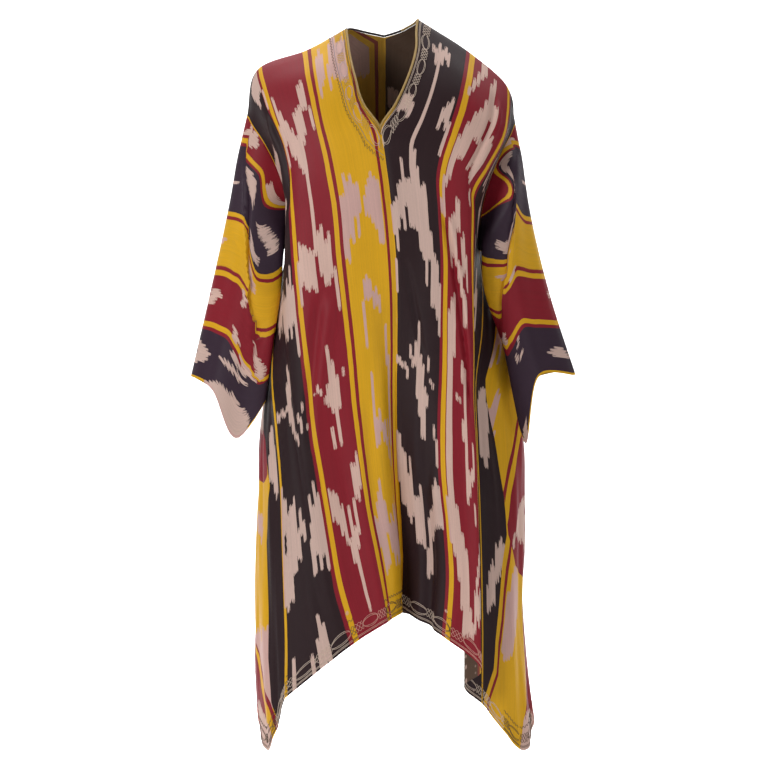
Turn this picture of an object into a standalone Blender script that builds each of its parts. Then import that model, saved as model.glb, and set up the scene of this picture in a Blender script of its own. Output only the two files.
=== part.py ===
"""Ikat kaftan: body panels over the shoulders, side gores, dropped two-strip sleeves, bound V neck.

Metres, +Z up, the front faces -Y and the wearer's right side is at -X. The kaftan hangs in its
worn, hollow form. Every piece is a wall of cloth of even thickness, and neighbouring pieces keep
a seam gap. The origin is between the shoulders, where the kaftan rests when it is worn.
"""

import bpy
import numpy as np

# Cloth and seams
CLOTH = 0.0012
SEAM_GAP = 0.0004
LOOM_WIDTH = 0.285
LEVEL_OF_V = 0.1886
LEVEL_OF_BACK_NECK = 0.05
LEVEL_OF_UNDERARM = 0.215

# Mesh density of the solids
PANEL_COLUMNS = 13
NECK_ROWS = 9
ARMHOLE_ROWS = 2
SKIRT_ROWS = 23
BACK_NECK_ROWS = 3
BACK_YOKE_ROWS = 7
GORE_FRONT_COLUMNS = 2
GORE_SIDE_COLUMNS = 5
SLEEVE_UPPER_ROWS = 5
SLEEVE_LOWER_ROWS = 8

# Sleeve: length fraction where its upper strip is sewn to its lower strip
SLEEVE_SEAM = 0.374

# Neck binding: a narrow rolled edge
BINDING_WIDTH = 0.0042
BINDING_THICKNESS = 0.0026
BINDING_SIDES = 8

# Warp lines of a front panel: distance across the cloth from the centre seam
LINES_LEFT = (0.0, 0.102, 0.180, 0.285)
LINES_RIGHT = (0.0, 0.102, 0.180, 0.235, 0.285)
LINES_BACK = (0.0, 0.102, 0.180, 0.285)
# Cloth turned away along the neck edge at the shoulder
NECK_TURN = {"left": 0.022, "right": 0.008}

# Height of each warp line at the shoulder ridge and at the hem
TOP_LEFT = (0.050, 0.0061, -0.0244, -0.1114)
HEM_LEFT = (-0.968, -0.986, -1.023, -1.121)
TOP_RIGHT = (0.050, 0.000, -0.0557, -0.0922, -0.1253)
HEM_RIGHT = (-0.968, -1.018, -1.074, -1.103, -1.133)
HEM_BACK = (-0.975, -1.000, -1.050, -1.130)
# The neck edge stands lower at one shoulder and higher at the other
NECK_RISE = {"left": -0.0075, "right": 0.0085}

# Front panel, wearer's right: a row per level from the ridge (0) to the hem (1).
# level | across: centre, inner, outer, side seam | depth: centre, inner, outer, side seam
FRONT_LEFT = (
    (0.000, -0.069, -0.135, -0.217, -0.240, 0.005, 0.000, 0.000, 0.000),
    (0.020, -0.066, -0.132, -0.213, -0.227, -0.022, -0.035, -0.030, -0.022),
    (0.050, -0.062, -0.128, -0.204, -0.207, -0.048, -0.068, -0.055, -0.036),
    (0.090, -0.053, -0.120, -0.191, -0.187, -0.076, -0.095, -0.075, -0.043),
    (0.140, -0.038, -0.110, -0.173, -0.171, -0.103, -0.117, -0.092, -0.040),
    (0.1886, -0.006, -0.098, -0.163, -0.166, -0.124, -0.127, -0.104, -0.031),
    (0.215, -0.002, -0.093, -0.161, -0.1645, -0.127, -0.130, -0.108, -0.014),
    (0.280, 0.007, -0.082, -0.156, -0.175, -0.132, -0.134, -0.114, -0.028),
    (0.360, 0.016, -0.075, -0.150, -0.189, -0.132, -0.136, -0.122, -0.046),
    (0.450, 0.021, -0.065, -0.141, -0.195, -0.127, -0.138, -0.129, -0.070),
    (0.540, 0.0215, -0.055, -0.131, -0.187, -0.120, -0.139, -0.134, -0.092),
    (0.630, 0.0205, -0.047, -0.122, -0.179, -0.112, -0.140, -0.138, -0.110),
    (0.720, 0.0215, -0.036, -0.107, -0.176, -0.104, -0.142, -0.142, -0.120),
    (0.810, 0.0255, -0.023, -0.092, -0.173, -0.096, -0.145, -0.147, -0.127),
    (0.900, 0.0305, -0.005, -0.076, -0.170, -0.088, -0.148, -0.151, -0.133),
    (1.000, 0.029, 0.012, -0.047, -0.171, -0.080, -0.150, -0.154, -0.138),
)

# Front panel, wearer's left, with one line more behind the side fold.
# level | across: centre, inner, outer, behind fold, side seam | depth: the same five
FRONT_RIGHT = (
    (0.000, 0.062, 0.152, 0.214, 0.224, 0.230, 0.005, 0.000, 0.000, 0.000, 0.000),
    (0.020, 0.059, 0.149, 0.216, 0.222, 0.220, -0.022, -0.032, -0.022, -0.020, -0.018),
    (0.050, 0.058, 0.144, 0.214, 0.215, 0.204, -0.046, -0.065, -0.045, -0.036, -0.030),
    (0.090, 0.046, 0.135, 0.206, 0.198, 0.187, -0.074, -0.095, -0.072, -0.055, -0.040),
    (0.140, 0.023, 0.119, 0.179, 0.177, 0.172, -0.102, -0.117, -0.095, -0.070, -0.038),
    (0.1886, -0.006, 0.103, 0.152, 0.165, 0.166, -0.124, -0.128, -0.110, -0.078, -0.031),
    (0.215, -0.002, 0.098, 0.152, 0.162, 0.166, -0.127, -0.131, -0.114, -0.080, -0.014),
    (0.280, 0.007, 0.100, 0.151, 0.157, 0.172, -0.132, -0.134, -0.121, -0.085, -0.028),
    (0.360, 0.016, 0.104, 0.152, 0.150, 0.171, -0.132, -0.136, -0.128, -0.092, -0.045),
    (0.450, 0.021, 0.103, 0.154, 0.145, 0.160, -0.127, -0.137, -0.134, -0.102, -0.066),
    (0.540, 0.0215, 0.102, 0.154, 0.141, 0.162, -0.120, -0.138, -0.139, -0.109, -0.078),
    (0.630, 0.0205, 0.099, 0.159, 0.139, 0.166, -0.112, -0.139, -0.144, -0.114, -0.087),
    (0.720, 0.0215, 0.100, 0.162, 0.139, 0.169, -0.104, -0.141, -0.148, -0.118, -0.093),
    (0.810, 0.0255, 0.109, 0.165, 0.139, 0.171, -0.096, -0.143, -0.151, -0.121, -0.099),
    (0.900, 0.0305, 0.114, 0.167, 0.138, 0.172, -0.088, -0.144, -0.153, -0.123, -0.104),
    (1.000, 0.029, 0.107, 0.169, 0.1375, 0.171, -0.080, -0.145, -0.154, -0.124, -0.108),
)

# Back panels, the same on both sides.
# level | out from the centre: inner, outer | depth: centre, inner, outer
BACK = (
    (0.000, 0.143, 0.216, 0.005, 0.000, 0.000),
    (0.020, 0.134, 0.212, 0.045, 0.034, 0.026),
    (0.050, 0.126, 0.204, 0.074, 0.058, 0.046),
    (0.090, 0.118, 0.192, 0.082, 0.077, 0.062),
    (0.140, 0.109, 0.178, 0.089, 0.091, 0.076),
    (0.1886, 0.103, 0.168, 0.095, 0.101, 0.084),
    (0.215, 0.100, 0.164, 0.098, 0.104, 0.087),
    (0.280, 0.096, 0.158, 0.104, 0.111, 0.092),
    (0.360, 0.094, 0.158, 0.110, 0.118, 0.097),
    (0.450, 0.093, 0.160, 0.114, 0.125, 0.102),
    (0.540, 0.092, 0.162, 0.117, 0.131, 0.107),
    (0.630, 0.091, 0.163, 0.119, 0.137, 0.113),
    (0.720, 0.090, 0.163, 0.121, 0.143, 0.120),
    (0.810, 0.089, 0.162, 0.123, 0.148, 0.127),
    (0.900, 0.088, 0.160, 0.125, 0.152, 0.133),
    (1.000, 0.087, 0.156, 0.127, 0.155, 0.140),
)
# Back neck edge, from the ridge to the centre: level, share of the half width, depth, height
BACK_NECK = (
    (0.000, 1.00, 0.005, 0.050),
    (0.020, 0.74, 0.044, 0.045),
    (0.035, 0.40, 0.065, 0.038),
    (0.050, 0.00, 0.074, 0.032),
)

# Back armhole and back gore seam. level | out: wearer's right, wearer's left | depth: the same two
BACK_SIDE = (
    (0.000, 0.240, 0.230, 0.000, 0.000),
    (0.020, 0.228, 0.220, 0.018, 0.016),
    (0.050, 0.209, 0.205, 0.032, 0.030),
    (0.090, 0.188, 0.188, 0.040, 0.040),
    (0.140, 0.172, 0.173, 0.038, 0.038),
    (0.1886, 0.166, 0.167, 0.030, 0.030),
    (0.215, 0.1645, 0.166, 0.014, 0.014),
    (0.280, 0.180, 0.180, 0.017, 0.018),
    (0.360, 0.191, 0.200, 0.020, 0.024),
    (0.450, 0.204, 0.220, 0.027, 0.034),
    (0.540, 0.211, 0.233, 0.036, 0.044),
    (0.630, 0.213, 0.235, 0.048, 0.055),
    (0.720, 0.213, 0.236, 0.060, 0.066),
    (0.810, 0.212, 0.235, 0.072, 0.076),
    (0.900, 0.210, 0.238, 0.082, 0.084),
    (1.000, 0.205, 0.242, 0.090, 0.090),
)

# Gores. level | dark seam and side fold, wearer's right: out, depth, out, depth | wearer's left
GORE = (
    (0.215, 0.1645, -0.003, 0.1650, 0.000, 0.166, -0.003, 0.166, 0.000),
    (0.280, 0.1780, -0.012, 0.1810, 0.000, 0.179, -0.012, 0.183, 0.001),
    (0.360, 0.1890, -0.028, 0.1925, -0.003, 0.186, -0.028, 0.205, 0.002),
    (0.450, 0.2010, -0.045, 0.2070, -0.008, 0.178, -0.046, 0.227, 0.000),
    (0.540, 0.2050, -0.062, 0.2155, -0.012, 0.192, -0.056, 0.2425, -0.002),
    (0.630, 0.2050, -0.080, 0.2185, -0.015, 0.208, -0.064, 0.2425, -0.004),
    (0.720, 0.2050, -0.092, 0.2210, -0.018, 0.214, -0.072, 0.2435, -0.006),
    (0.810, 0.2040, -0.100, 0.2235, -0.018, 0.220, -0.076, 0.2405, -0.008),
    (0.900, 0.2020, -0.106, 0.2235, -0.016, 0.228, -0.079, 0.247, -0.008),
    (1.000, 0.1980, -0.110, 0.2175, -0.012, 0.236, -0.080, 0.261, -0.008),
)
GORE_LINES = (0.0, 0.25, 0.60, 1.0)
# Hem height of the dark seam (the side point) and of the side fold
GORE_HEM = {"left": (-1.210, -1.168), "right": (-1.212, -1.1645)}

# Sleeve sections: six places round the sleeve, as angles from its top edge
SLEEVE_ANGLES = (0.0, 60.0, 120.0, 150.0, 180.0, 270.0, 360.0)
# down the sleeve | top, front, low, crease, inner, back: across, depth, height
SLEEVE_LEFT = (
    (0.12, -0.252, 0.000, -0.164, -0.226, -0.055, -0.225, -0.205, -0.062, -0.290,
     -0.174, -0.062, -0.328, -0.181, -0.018, -0.350, -0.214, 0.050, -0.250),
    (0.33, -0.270, 0.000, -0.261, -0.245, -0.064, -0.336, -0.215, -0.070, -0.395,
     -0.1795, -0.062, -0.405, -0.194, -0.018, -0.430, -0.212, 0.055, -0.318),
    (0.67, -0.303, 0.000, -0.415, -0.271, -0.060, -0.470, -0.238, -0.064, -0.553,
     -0.194, -0.066, -0.512, -0.212, -0.012, -0.530, -0.245, 0.048, -0.466),
    (1.00, -0.3375, 0.000, -0.564, -0.299, -0.058, -0.588, -0.250, -0.062, -0.670,
     -0.207, -0.066, -0.610, -0.222, -0.010, -0.615, -0.271, 0.045, -0.600),
)
SLEEVE_RIGHT = (
    (0.12, 0.238, 0.000, -0.167, 0.2245, -0.050, -0.197, 0.209, -0.064, -0.268,
     0.1705, -0.062, -0.328, 0.178, -0.018, -0.356, 0.213, 0.050, -0.255),
    (0.33, 0.254, 0.000, -0.270, 0.230, -0.062, -0.301, 0.211, -0.070, -0.365,
     0.1725, -0.062, -0.398, 0.191, -0.018, -0.425, 0.228, 0.055, -0.330),
    (0.67, 0.287, 0.000, -0.4176, 0.237, -0.064, -0.4315, 0.207, -0.061, -0.478,
     0.206, -0.046, -0.510, 0.222, -0.012, -0.530, 0.262, 0.050, -0.460),
    (1.00, 0.3323, 0.000, -0.562, 0.268, -0.060, -0.567, 0.245, -0.040, -0.680,
     0.228, -0.038, -0.612, 0.240, -0.008, -0.586, 0.300, 0.045, -0.557),
)

# Hanging folds: panel, distance across the cloth, half width, first level, last level, height
FOLDS = (
    ("front left", 0.055, 0.030, 0.30, 1.05, 0.004),
    ("front left", 0.145, 0.034, 0.40, 1.10, -0.006),
    ("front left", 0.215, 0.036, 0.30, 1.10, 0.007),
    ("front right", 0.068, 0.026, 0.45, 1.15, -0.007),
    ("front right", 0.140, 0.030, 0.22, 1.10, -0.005),
    ("back left", 0.060, 0.040, 0.25, 1.15, 0.012),
    ("back left", 0.140, 0.040, 0.30, 1.15, -0.014),
    ("back left", 0.220, 0.040, 0.30, 1.15, 0.012),
    ("back right", 0.070, 0.040, 0.25, 1.15, 0.013),
    ("back right", 0.150, 0.040, 0.30, 1.15, -0.013),
    ("back right", 0.230, 0.040, 0.30, 1.15, 0.010),
)

# Colours of the pieces: red, green, blue
COLOURS = {
    "panel_left": (0.42, 0.06, 0.10),
    "panel_right": (0.10, 0.05, 0.07),
    "gore_front_left": (0.08, 0.04, 0.06),
    "gore_front_right": (0.08, 0.04, 0.06),
    "gore_side_left": (0.62, 0.38, 0.05),
    "gore_side_right": (0.62, 0.38, 0.05),
    "sleeve_upper_left": (0.36, 0.05, 0.09),
    "sleeve_upper_right": (0.36, 0.05, 0.09),
    "sleeve_lower_left": (0.55, 0.30, 0.06),
    "sleeve_lower_right": (0.55, 0.30, 0.06),
    "neck_binding": (0.30, 0.20, 0.06),
}


def smooth_step(value):
    value = np.clip(value, 0.0, 1.0)
    return value * value * (3.0 - 2.0 * value)


def through(knots, values, at):
    """A smooth curve through the values at uneven knots, read at the places asked for."""
    knots = np.asarray(knots, float)
    values = np.asarray(values, float)
    at = np.atleast_1d(np.asarray(at, float))
    steps = np.diff(knots)
    shape = (-1,) + (1,) * (values.ndim - 1)
    slopes = np.diff(values, axis=0) / steps.reshape(shape)
    tangents = np.empty_like(values)
    tangents[0] = slopes[0]
    tangents[-1] = slopes[-1]
    before = steps[:-1].reshape(shape)
    after = steps[1:].reshape(shape)
    tangents[1:-1] = (slopes[:-1] * after + slopes[1:] * before) / (before + after)
    index = np.clip(np.searchsorted(knots, at, side="right") - 1, 0, len(knots) - 2)
    span = steps[index].reshape(shape)
    part = ((at - knots[index]) / steps[index]).reshape(shape)
    start = values[index]
    end = values[index + 1]
    return (
        (2 * part**3 - 3 * part**2 + 1) * start
        + (part**3 - 2 * part**2 + part) * span * tangents[index]
        + (3 * part**2 - 2 * part**3) * end
        + (part**3 - part**2) * span * tangents[index + 1]
    )


def front_levels():
    neck = (np.linspace(0.0, np.sqrt(LEVEL_OF_V), NECK_ROWS + 1)) ** 2
    arm = np.linspace(LEVEL_OF_V, LEVEL_OF_UNDERARM, ARMHOLE_ROWS + 1)
    skirt = np.linspace(LEVEL_OF_UNDERARM, 1.0, SKIRT_ROWS + 1)
    return np.concatenate((neck, arm[1:], skirt[1:]))


def back_levels():
    neck = (np.linspace(0.0, np.sqrt(LEVEL_OF_BACK_NECK), BACK_NECK_ROWS + 1)) ** 2
    first = np.sqrt(LEVEL_OF_BACK_NECK)
    yoke = (np.linspace(first, np.sqrt(LEVEL_OF_UNDERARM), BACK_YOKE_ROWS + 1)) ** 2
    skirt = np.linspace(LEVEL_OF_UNDERARM, 1.0, SKIRT_ROWS + 1)
    return np.concatenate((neck, yoke[1:], skirt[1:]))


def turned_away(side, levels, end):
    """How much of the cloth is turned away at the inner edge on each level."""
    left = np.clip(1.0 - levels / end, 0.0, 1.0)
    return NECK_TURN[side] * left


def across(lines, turn, nets):
    """Points of a panel between its warp lines, with the distance across the cloth."""
    share = np.linspace(0.0, 1.0, PANEL_COLUMNS + 1)
    grid = []
    widths = []
    for row, inner in enumerate(turn):
        knots = np.array(lines)
        knots[0] = inner
        places = inner + (LOOM_WIDTH - inner) * share
        grid.append(through(knots, nets[row], places))
        widths.append(places)
    return np.array(grid), np.array(widths)


def front_panel(side):
    levels = front_levels()
    table = np.array(FRONT_LEFT if side == "left" else FRONT_RIGHT)
    lines = LINES_LEFT if side == "left" else LINES_RIGHT
    top = np.array(TOP_LEFT if side == "left" else TOP_RIGHT)
    hem = np.array(HEM_LEFT if side == "left" else HEM_RIGHT)
    count = len(lines)
    read = through(np.sqrt(table[:, 0]), table[:, 1:], np.sqrt(levels))
    net = np.empty((len(levels), count, 3))
    net[:, :, 0] = read[:, :count]
    net[:, :, 1] = read[:, count:]
    net[:, :, 2] = top + (hem - top) * levels[:, None]
    near = np.clip(1.0 - levels / LEVEL_OF_V, 0.0, 1.0) ** 2
    net[:, 0, 2] += NECK_RISE[side] * near
    grid, widths = across(lines, turned_away(side, levels, LEVEL_OF_V), net)
    return grid, widths, levels


def back_panel(side, ridge):
    levels = back_levels()
    sign = -1.0 if side == "left" else 1.0
    table = np.array(BACK)
    sides = np.array(BACK_SIDE)
    roots = np.sqrt(levels)
    read = through(np.sqrt(table[:, 0]), table[:, 1:], roots)
    seam = through(np.sqrt(sides[:, 0]), sides[:, 1:], roots)
    neck = np.array(BACK_NECK)
    edge = through(np.sqrt(neck[:, 0]), neck[:, 1:], np.minimum(roots, np.sqrt(LEVEL_OF_BACK_NECK)))
    tops = TOP_LEFT if side == "left" else tuple(TOP_RIGHT[i] for i in (0, 1, 2, 4))
    top = np.array(tops)
    hem = np.array(HEM_BACK)
    column = 0 if side == "left" else 1
    net = np.empty((len(levels), 4, 3))
    half = abs(ridge[0, 0])
    near = np.clip(1.0 - levels / LEVEL_OF_UNDERARM, 0.0, 1.0) ** 2
    net[:, 0, 0] = sign * edge[:, 0] * half
    below = levels >= LEVEL_OF_BACK_NECK
    net[:, 0, 1] = np.where(below, read[:, 2], edge[:, 1])
    fall = (levels - LEVEL_OF_BACK_NECK) / (1.0 - LEVEL_OF_BACK_NECK)
    start = BACK_NECK[-1][3]
    net[:, 0, 2] = np.where(below, start + (hem[0] - start) * fall, edge[:, 2])
    rise = NECK_RISE[side] * np.clip(1.0 - levels / LEVEL_OF_BACK_NECK, 0.0, 1.0) ** 2
    net[:, 0, 2] += rise
    for line, place in ((1, 0), (2, 1)):
        at_ridge = through(ridge_knots(side), ridge, [LINES_BACK[line]])[0]
        shift = at_ridge[0] - sign * table[0, 1 + place]
        net[:, line, 0] = sign * read[:, place] + shift * near
        net[:, line, 1] = read[:, 2 + line]
        net[:, line, 2] = top[line] + (hem[line] - top[line]) * levels
    net[:, 3, 0] = sign * seam[:, column]
    net[:, 3, 1] = seam[:, 2 + column]
    net[:, 3, 2] = top[3] + (hem[3] - top[3]) * levels
    turn = turned_away(side, levels, LEVEL_OF_BACK_NECK)
    grid, widths = across(LINES_BACK, turn, net)
    return grid, widths, levels


def ridge_knots(side):
    turn = NECK_TURN[side]
    return turn + (LOOM_WIDTH - turn) * np.linspace(0.0, 1.0, PANEL_COLUMNS + 1)


def grid_normals(grid, wrap=False):
    """Normals of a grid of points, facing away from the hollow of the garment."""
    down = np.gradient(grid, axis=0)
    if wrap:
        over = (np.roll(grid, -1, axis=1) - np.roll(grid, 1, axis=1)) / 2.0
    else:
        over = np.gradient(grid, axis=1)
    normals = np.cross(over, down)
    length = np.linalg.norm(normals, axis=2, keepdims=True)
    return normals / np.maximum(length, 1e-12)


def fold_panel(grid, widths, levels, name, outward):
    """Moves the cloth out and in along its hanging folds."""
    normals = grid_normals(grid) * outward
    moved = np.zeros(grid.shape[:2])
    for panel, place, half, first, last, height in FOLDS:
        if panel != name:
            continue
        over = np.clip(1.0 - np.abs(widths - place) / half, 0.0, 1.0)
        bump = smooth_step(over)
        run = smooth_step((levels - first) / (last - first) * 1.6)[:, None]
        moved += height * bump * run
    return grid + normals * moved[:, :, None]


def body_panel(side):
    """The whole strip of cloth from the front hem over the shoulder to the back hem."""
    outward = -1.0 if side == "left" else 1.0
    front, widths, levels = front_panel(side)
    ridge = front[0].copy()
    front = fold_panel(front, widths, levels, "front " + side, -outward)
    back, back_widths, back_level = back_panel(side, ridge)
    back = fold_panel(back, back_widths, back_level, "back " + side, outward)
    return np.concatenate((front[::-1], back[1:]))


def gore(side, panel):
    """The side gore between the front seam and the back seam, from the underarm to the hem."""
    sign = -1.0 if side == "left" else 1.0
    front_edge = panel[: SKIRT_ROWS + 1, -1][::-1]
    back_edge = panel[-(SKIRT_ROWS + 1):, -1]
    levels = np.linspace(LEVEL_OF_UNDERARM, 1.0, SKIRT_ROWS + 1)
    table = np.array(GORE)
    read = through(table[:, 0], table[:, 1:], levels)
    first = 0 if side == "left" else 4
    fall = ((levels - LEVEL_OF_UNDERARM) / (1.0 - LEVEL_OF_UNDERARM))[:, None]
    lines = []
    for place in (0, 1):
        share = (GORE_LINES[1 + place]) * np.ones_like(fall)
        start = front_edge[0] + (back_edge[0] - front_edge[0]) * share
        line = np.empty((len(levels), 3))
        line[:, 0] = sign * read[:, first + 2 * place]
        line[:, 1] = read[:, first + 2 * place + 1]
        line[:, 2] = start[:, 2] + (GORE_HEM[side][place] - start[:, 2]) * fall[:, 0]
        blend = smooth_step(fall * 8.0)
        lines.append(start * (1.0 - blend) + line * blend)
    net = np.stack((front_edge, lines[0], lines[1], back_edge), axis=1)
    first_part = np.linspace(0.0, GORE_LINES[1], GORE_FRONT_COLUMNS + 1)
    second_part = np.linspace(GORE_LINES[1], 1.0, GORE_SIDE_COLUMNS + 1)
    places = np.concatenate((first_part, second_part[1:]))
    return np.array([through(GORE_LINES, row, places) for row in net])


def armhole(panel, wedge):
    """The armhole as a ring: from the ridge down the front, under the arm and up the back."""
    ridge = SKIRT_ROWS + ARMHOLE_ROWS + NECK_ROWS
    front = panel[SKIRT_ROWS: ridge + 1, -1][::-1]
    back = panel[ridge: ridge + BACK_NECK_ROWS + BACK_YOKE_ROWS + 1, -1][::-1]
    return np.concatenate((front, wedge[0, 1:-1], back[:-1]))


def sleeve(side, panel, wedge):
    """The sleeve: rings from the armhole to the cuff."""
    ring = armhole(panel, wedge)
    table = SLEEVE_LEFT if side == "left" else SLEEVE_RIGHT
    under = ARMHOLE_ROWS + NECK_ROWS
    lengths = np.linalg.norm(np.roll(ring, -1, axis=0) - ring, axis=1)
    run = np.concatenate(([0.0], np.cumsum(lengths)))
    middle = (run[under] + run[under + GORE_FRONT_COLUMNS + GORE_SIDE_COLUMNS]) / 2.0
    angles = np.where(
        run[:-1] <= middle,
        np.pi * run[:-1] / middle,
        np.pi + np.pi * (run[:-1] - middle) / (run[-1] - middle),
    )
    knots = [0.0]
    rings = [ring]
    for row in table:
        places = np.array(row[1:]).reshape(6, 3)
        closed = np.concatenate((places[-1:], places, places[:2]))
        around = np.radians((SLEEVE_ANGLES[5] - 360.0,) + SLEEVE_ANGLES + (360.0 + SLEEVE_ANGLES[1],))
        knots.append(row[0])
        rings.append(through(around, closed, angles))
    upper = np.linspace(0.0, SLEEVE_SEAM, SLEEVE_UPPER_ROWS + 1)
    lower = np.linspace(SLEEVE_SEAM, 1.0, SLEEVE_LOWER_ROWS + 1)
    return through(knots, np.array(rings), np.concatenate((upper, lower[1:])))


def join_centre(left, right):
    """Gives both panels the same line along the centre seams."""
    front = SKIRT_ROWS + ARMHOLE_ROWS + 1
    back = len(right) - SKIRT_ROWS - BACK_YOKE_ROWS - 1
    right[:front, 0] = left[:front, 0]
    right[back:, 0] = left[back:, 0]


def key_of(point):
    return tuple(np.round(point, 6) + 0.0)


def shared_normals(pieces):
    """Normals that neighbouring pieces agree on along their seams."""
    total = {}
    own = {}
    for name, (grid, outward, wrap) in pieces.items():
        normals = grid_normals(grid, wrap) * outward
        own[name] = normals
        group = "sleeve" if name.startswith("sleeve") else "body"
        for point, normal in zip(grid.reshape(-1, 3), normals.reshape(-1, 3)):
            met = total.setdefault(key_of(point), {})
            met[group] = met.get(group, np.zeros(3)) + normal
    result = {}
    for name, (grid, outward, wrap) in pieces.items():
        flat = []
        for point, normal in zip(grid.reshape(-1, 3), own[name].reshape(-1, 3)):
            met = [one / max(np.linalg.norm(one), 1e-9) for one in total[key_of(point)].values()]
            mean = sum(met)
            length = np.linalg.norm(mean)
            mean = mean / length if length > 0.15 else normal
            spread = max(0.55, float(np.dot(mean, met[0])))
            flat.append(mean / spread)
        result[name] = np.array(flat).reshape(grid.shape)
    return result


def inset(grid, sides, amount, wrap=False):
    """Draws the sewn edges of a piece back from the seam."""
    moved = grid.copy()
    for side in sides:
        if side in ("top", "bottom"):
            edge = 0 if side == "top" else -1
            inner = 1 if side == "top" else -2
            step = grid[inner] - grid[edge]
            step /= np.maximum(np.linalg.norm(step, axis=-1, keepdims=True), 1e-9)
            moved[edge] += step * amount
        else:
            edge = 0 if side == "first" else -1
            inner = 1 if side == "first" else -2
            step = grid[:, inner] - grid[:, edge]
            step /= np.maximum(np.linalg.norm(step, axis=-1, keepdims=True), 1e-9)
            moved[:, edge] += step * amount
    return moved


def add_object(name, points, faces, collection):
    mesh = bpy.data.meshes.new(name)
    mesh.from_pydata([tuple(point) for point in points], [], faces)
    mesh.polygons.foreach_set("use_smooth", [True] * len(mesh.polygons))
    mesh.set_sharp_from_angle(angle=1.0)
    mesh.update()
    made = bpy.data.objects.new(name, mesh)
    material = bpy.data.materials.new(name + " cloth")
    material.use_nodes = True
    shader = material.node_tree.nodes["Principled BSDF"]
    shader.inputs["Base Color"].default_value = (*COLOURS[name], 1.0)
    shader.inputs["Roughness"].default_value = 0.6
    mesh.materials.append(material)
    collection.objects.link(made)
    return made


def wall(name, grid, normals, outward, collection, wrap=False):
    """A closed wall of cloth on both sides of a grid of points."""
    rows, columns = grid.shape[:2]
    outer = grid + normals * CLOTH / 2.0
    inner = grid - normals * CLOTH / 2.0
    points = np.concatenate((outer.reshape(-1, 3), inner.reshape(-1, 3)))
    half = rows * columns
    faces = []

    def place(row, column, layer):
        return layer * half + row * columns + column % columns

    spans = columns if wrap else columns - 1
    for row in range(rows - 1):
        for column in range(spans):
            quad = (
                place(row, column, 0),
                place(row + 1, column, 0),
                place(row + 1, column + 1, 0),
                place(row, column + 1, 0),
            )
            one = np.linalg.norm(points[quad[0]] - points[quad[2]])
            other = np.linalg.norm(points[quad[1]] - points[quad[3]])
            if other < one:
                quad = quad[1:] + quad[:1]
            for face in ((quad[0], quad[1], quad[2]), (quad[0], quad[2], quad[3])):
                faces.append(face)
                faces.append(tuple(index + half for index in reversed(face)))
    rim = []
    last = rows - 1
    for column in range(spans):
        rim.append((place(0, column, 0), place(0, column + 1, 0)))
        rim.append((place(last, column + 1, 0), place(last, column, 0)))
    if not wrap:
        last = columns - 1
        for row in range(rows - 1):
            rim.append((place(row + 1, 0, 0), place(row, 0, 0)))
            rim.append((place(row, last, 0), place(row + 1, last, 0)))
    order = points @ np.array((0.05, 0.31, 1.0))
    for start, end in rim:
        if order[start] < order[end]:
            faces.append((start, end, end + half))
            faces.append((start, end + half, start + half))
        else:
            faces.append((start, end, start + half))
            faces.append((end, end + half, start + half))
    if outward > 0:
        faces = [tuple(reversed(face)) for face in faces]
    return add_object(name, points, faces, collection)


def neck_binding(left, right, normals, collection):
    """The rolled edge round the neck: one closed ring with a rounded section."""
    ridge = SKIRT_ROWS + ARMHOLE_ROWS + NECK_ROWS
    first = ridge - NECK_ROWS
    last = ridge + BACK_NECK_ROWS
    loop = []
    for name, grid, rows in (
        ("panel_left", left, range(first, last + 1)),
        ("panel_right", right, range(last - 1, first, -1)),
    ):
        for row in rows:
            step = grid[row, 0] - grid[row, 1]
            loop.append((grid[row, 0], normals[name][row, 0], step / np.linalg.norm(step)))
    points = np.array([entry[0] for entry in loop])
    count = len(points)
    rings = []
    for index, (point, normal, step) in enumerate(loop):
        along = points[(index + 1) % count] - points[index - 1]
        along /= np.linalg.norm(along)
        normal = normal / np.linalg.norm(normal)
        into = step - along * np.dot(step, along)
        if index in (0, last - first):
            before = points[index - 1] - point
            after = points[(index + 1) % count] - point
            into = before / np.linalg.norm(before) + after / np.linalg.norm(after)
            if index != 0:
                into = np.array((0.0, -0.3, 1.0))
            into -= along * np.dot(into, along)
        into -= normal * np.dot(into, normal)
        into /= np.linalg.norm(into)
        deep = 1.9 if index == 0 else 1.0
        centre = point + into * (SEAM_GAP * 1.2 + BINDING_WIDTH / 2.0) * deep
        ring = []
        for side in range(BINDING_SIDES):
            angle = 2.0 * np.pi * (side + 0.5) / BINDING_SIDES
            width = np.sign(np.cos(angle)) * abs(np.cos(angle)) ** 0.7
            depth = np.sign(np.sin(angle)) * abs(np.sin(angle)) ** 0.7
            ring.append(centre + into * width * BINDING_WIDTH / 2.0 + normal * depth * BINDING_THICKNESS / 2.0)
        rings.append(ring)
    faces = []
    for index in range(count):
        following = (index + 1) % count
        for side in range(BINDING_SIDES):
            other = (side + 1) % BINDING_SIDES
            faces.append(
                (
                    index * BINDING_SIDES + side,
                    following * BINDING_SIDES + side,
                    following * BINDING_SIDES + other,
                    index * BINDING_SIDES + other,
                )
            )
    return add_object("neck_binding", np.array(rings).reshape(-1, 3), faces, collection)


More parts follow.
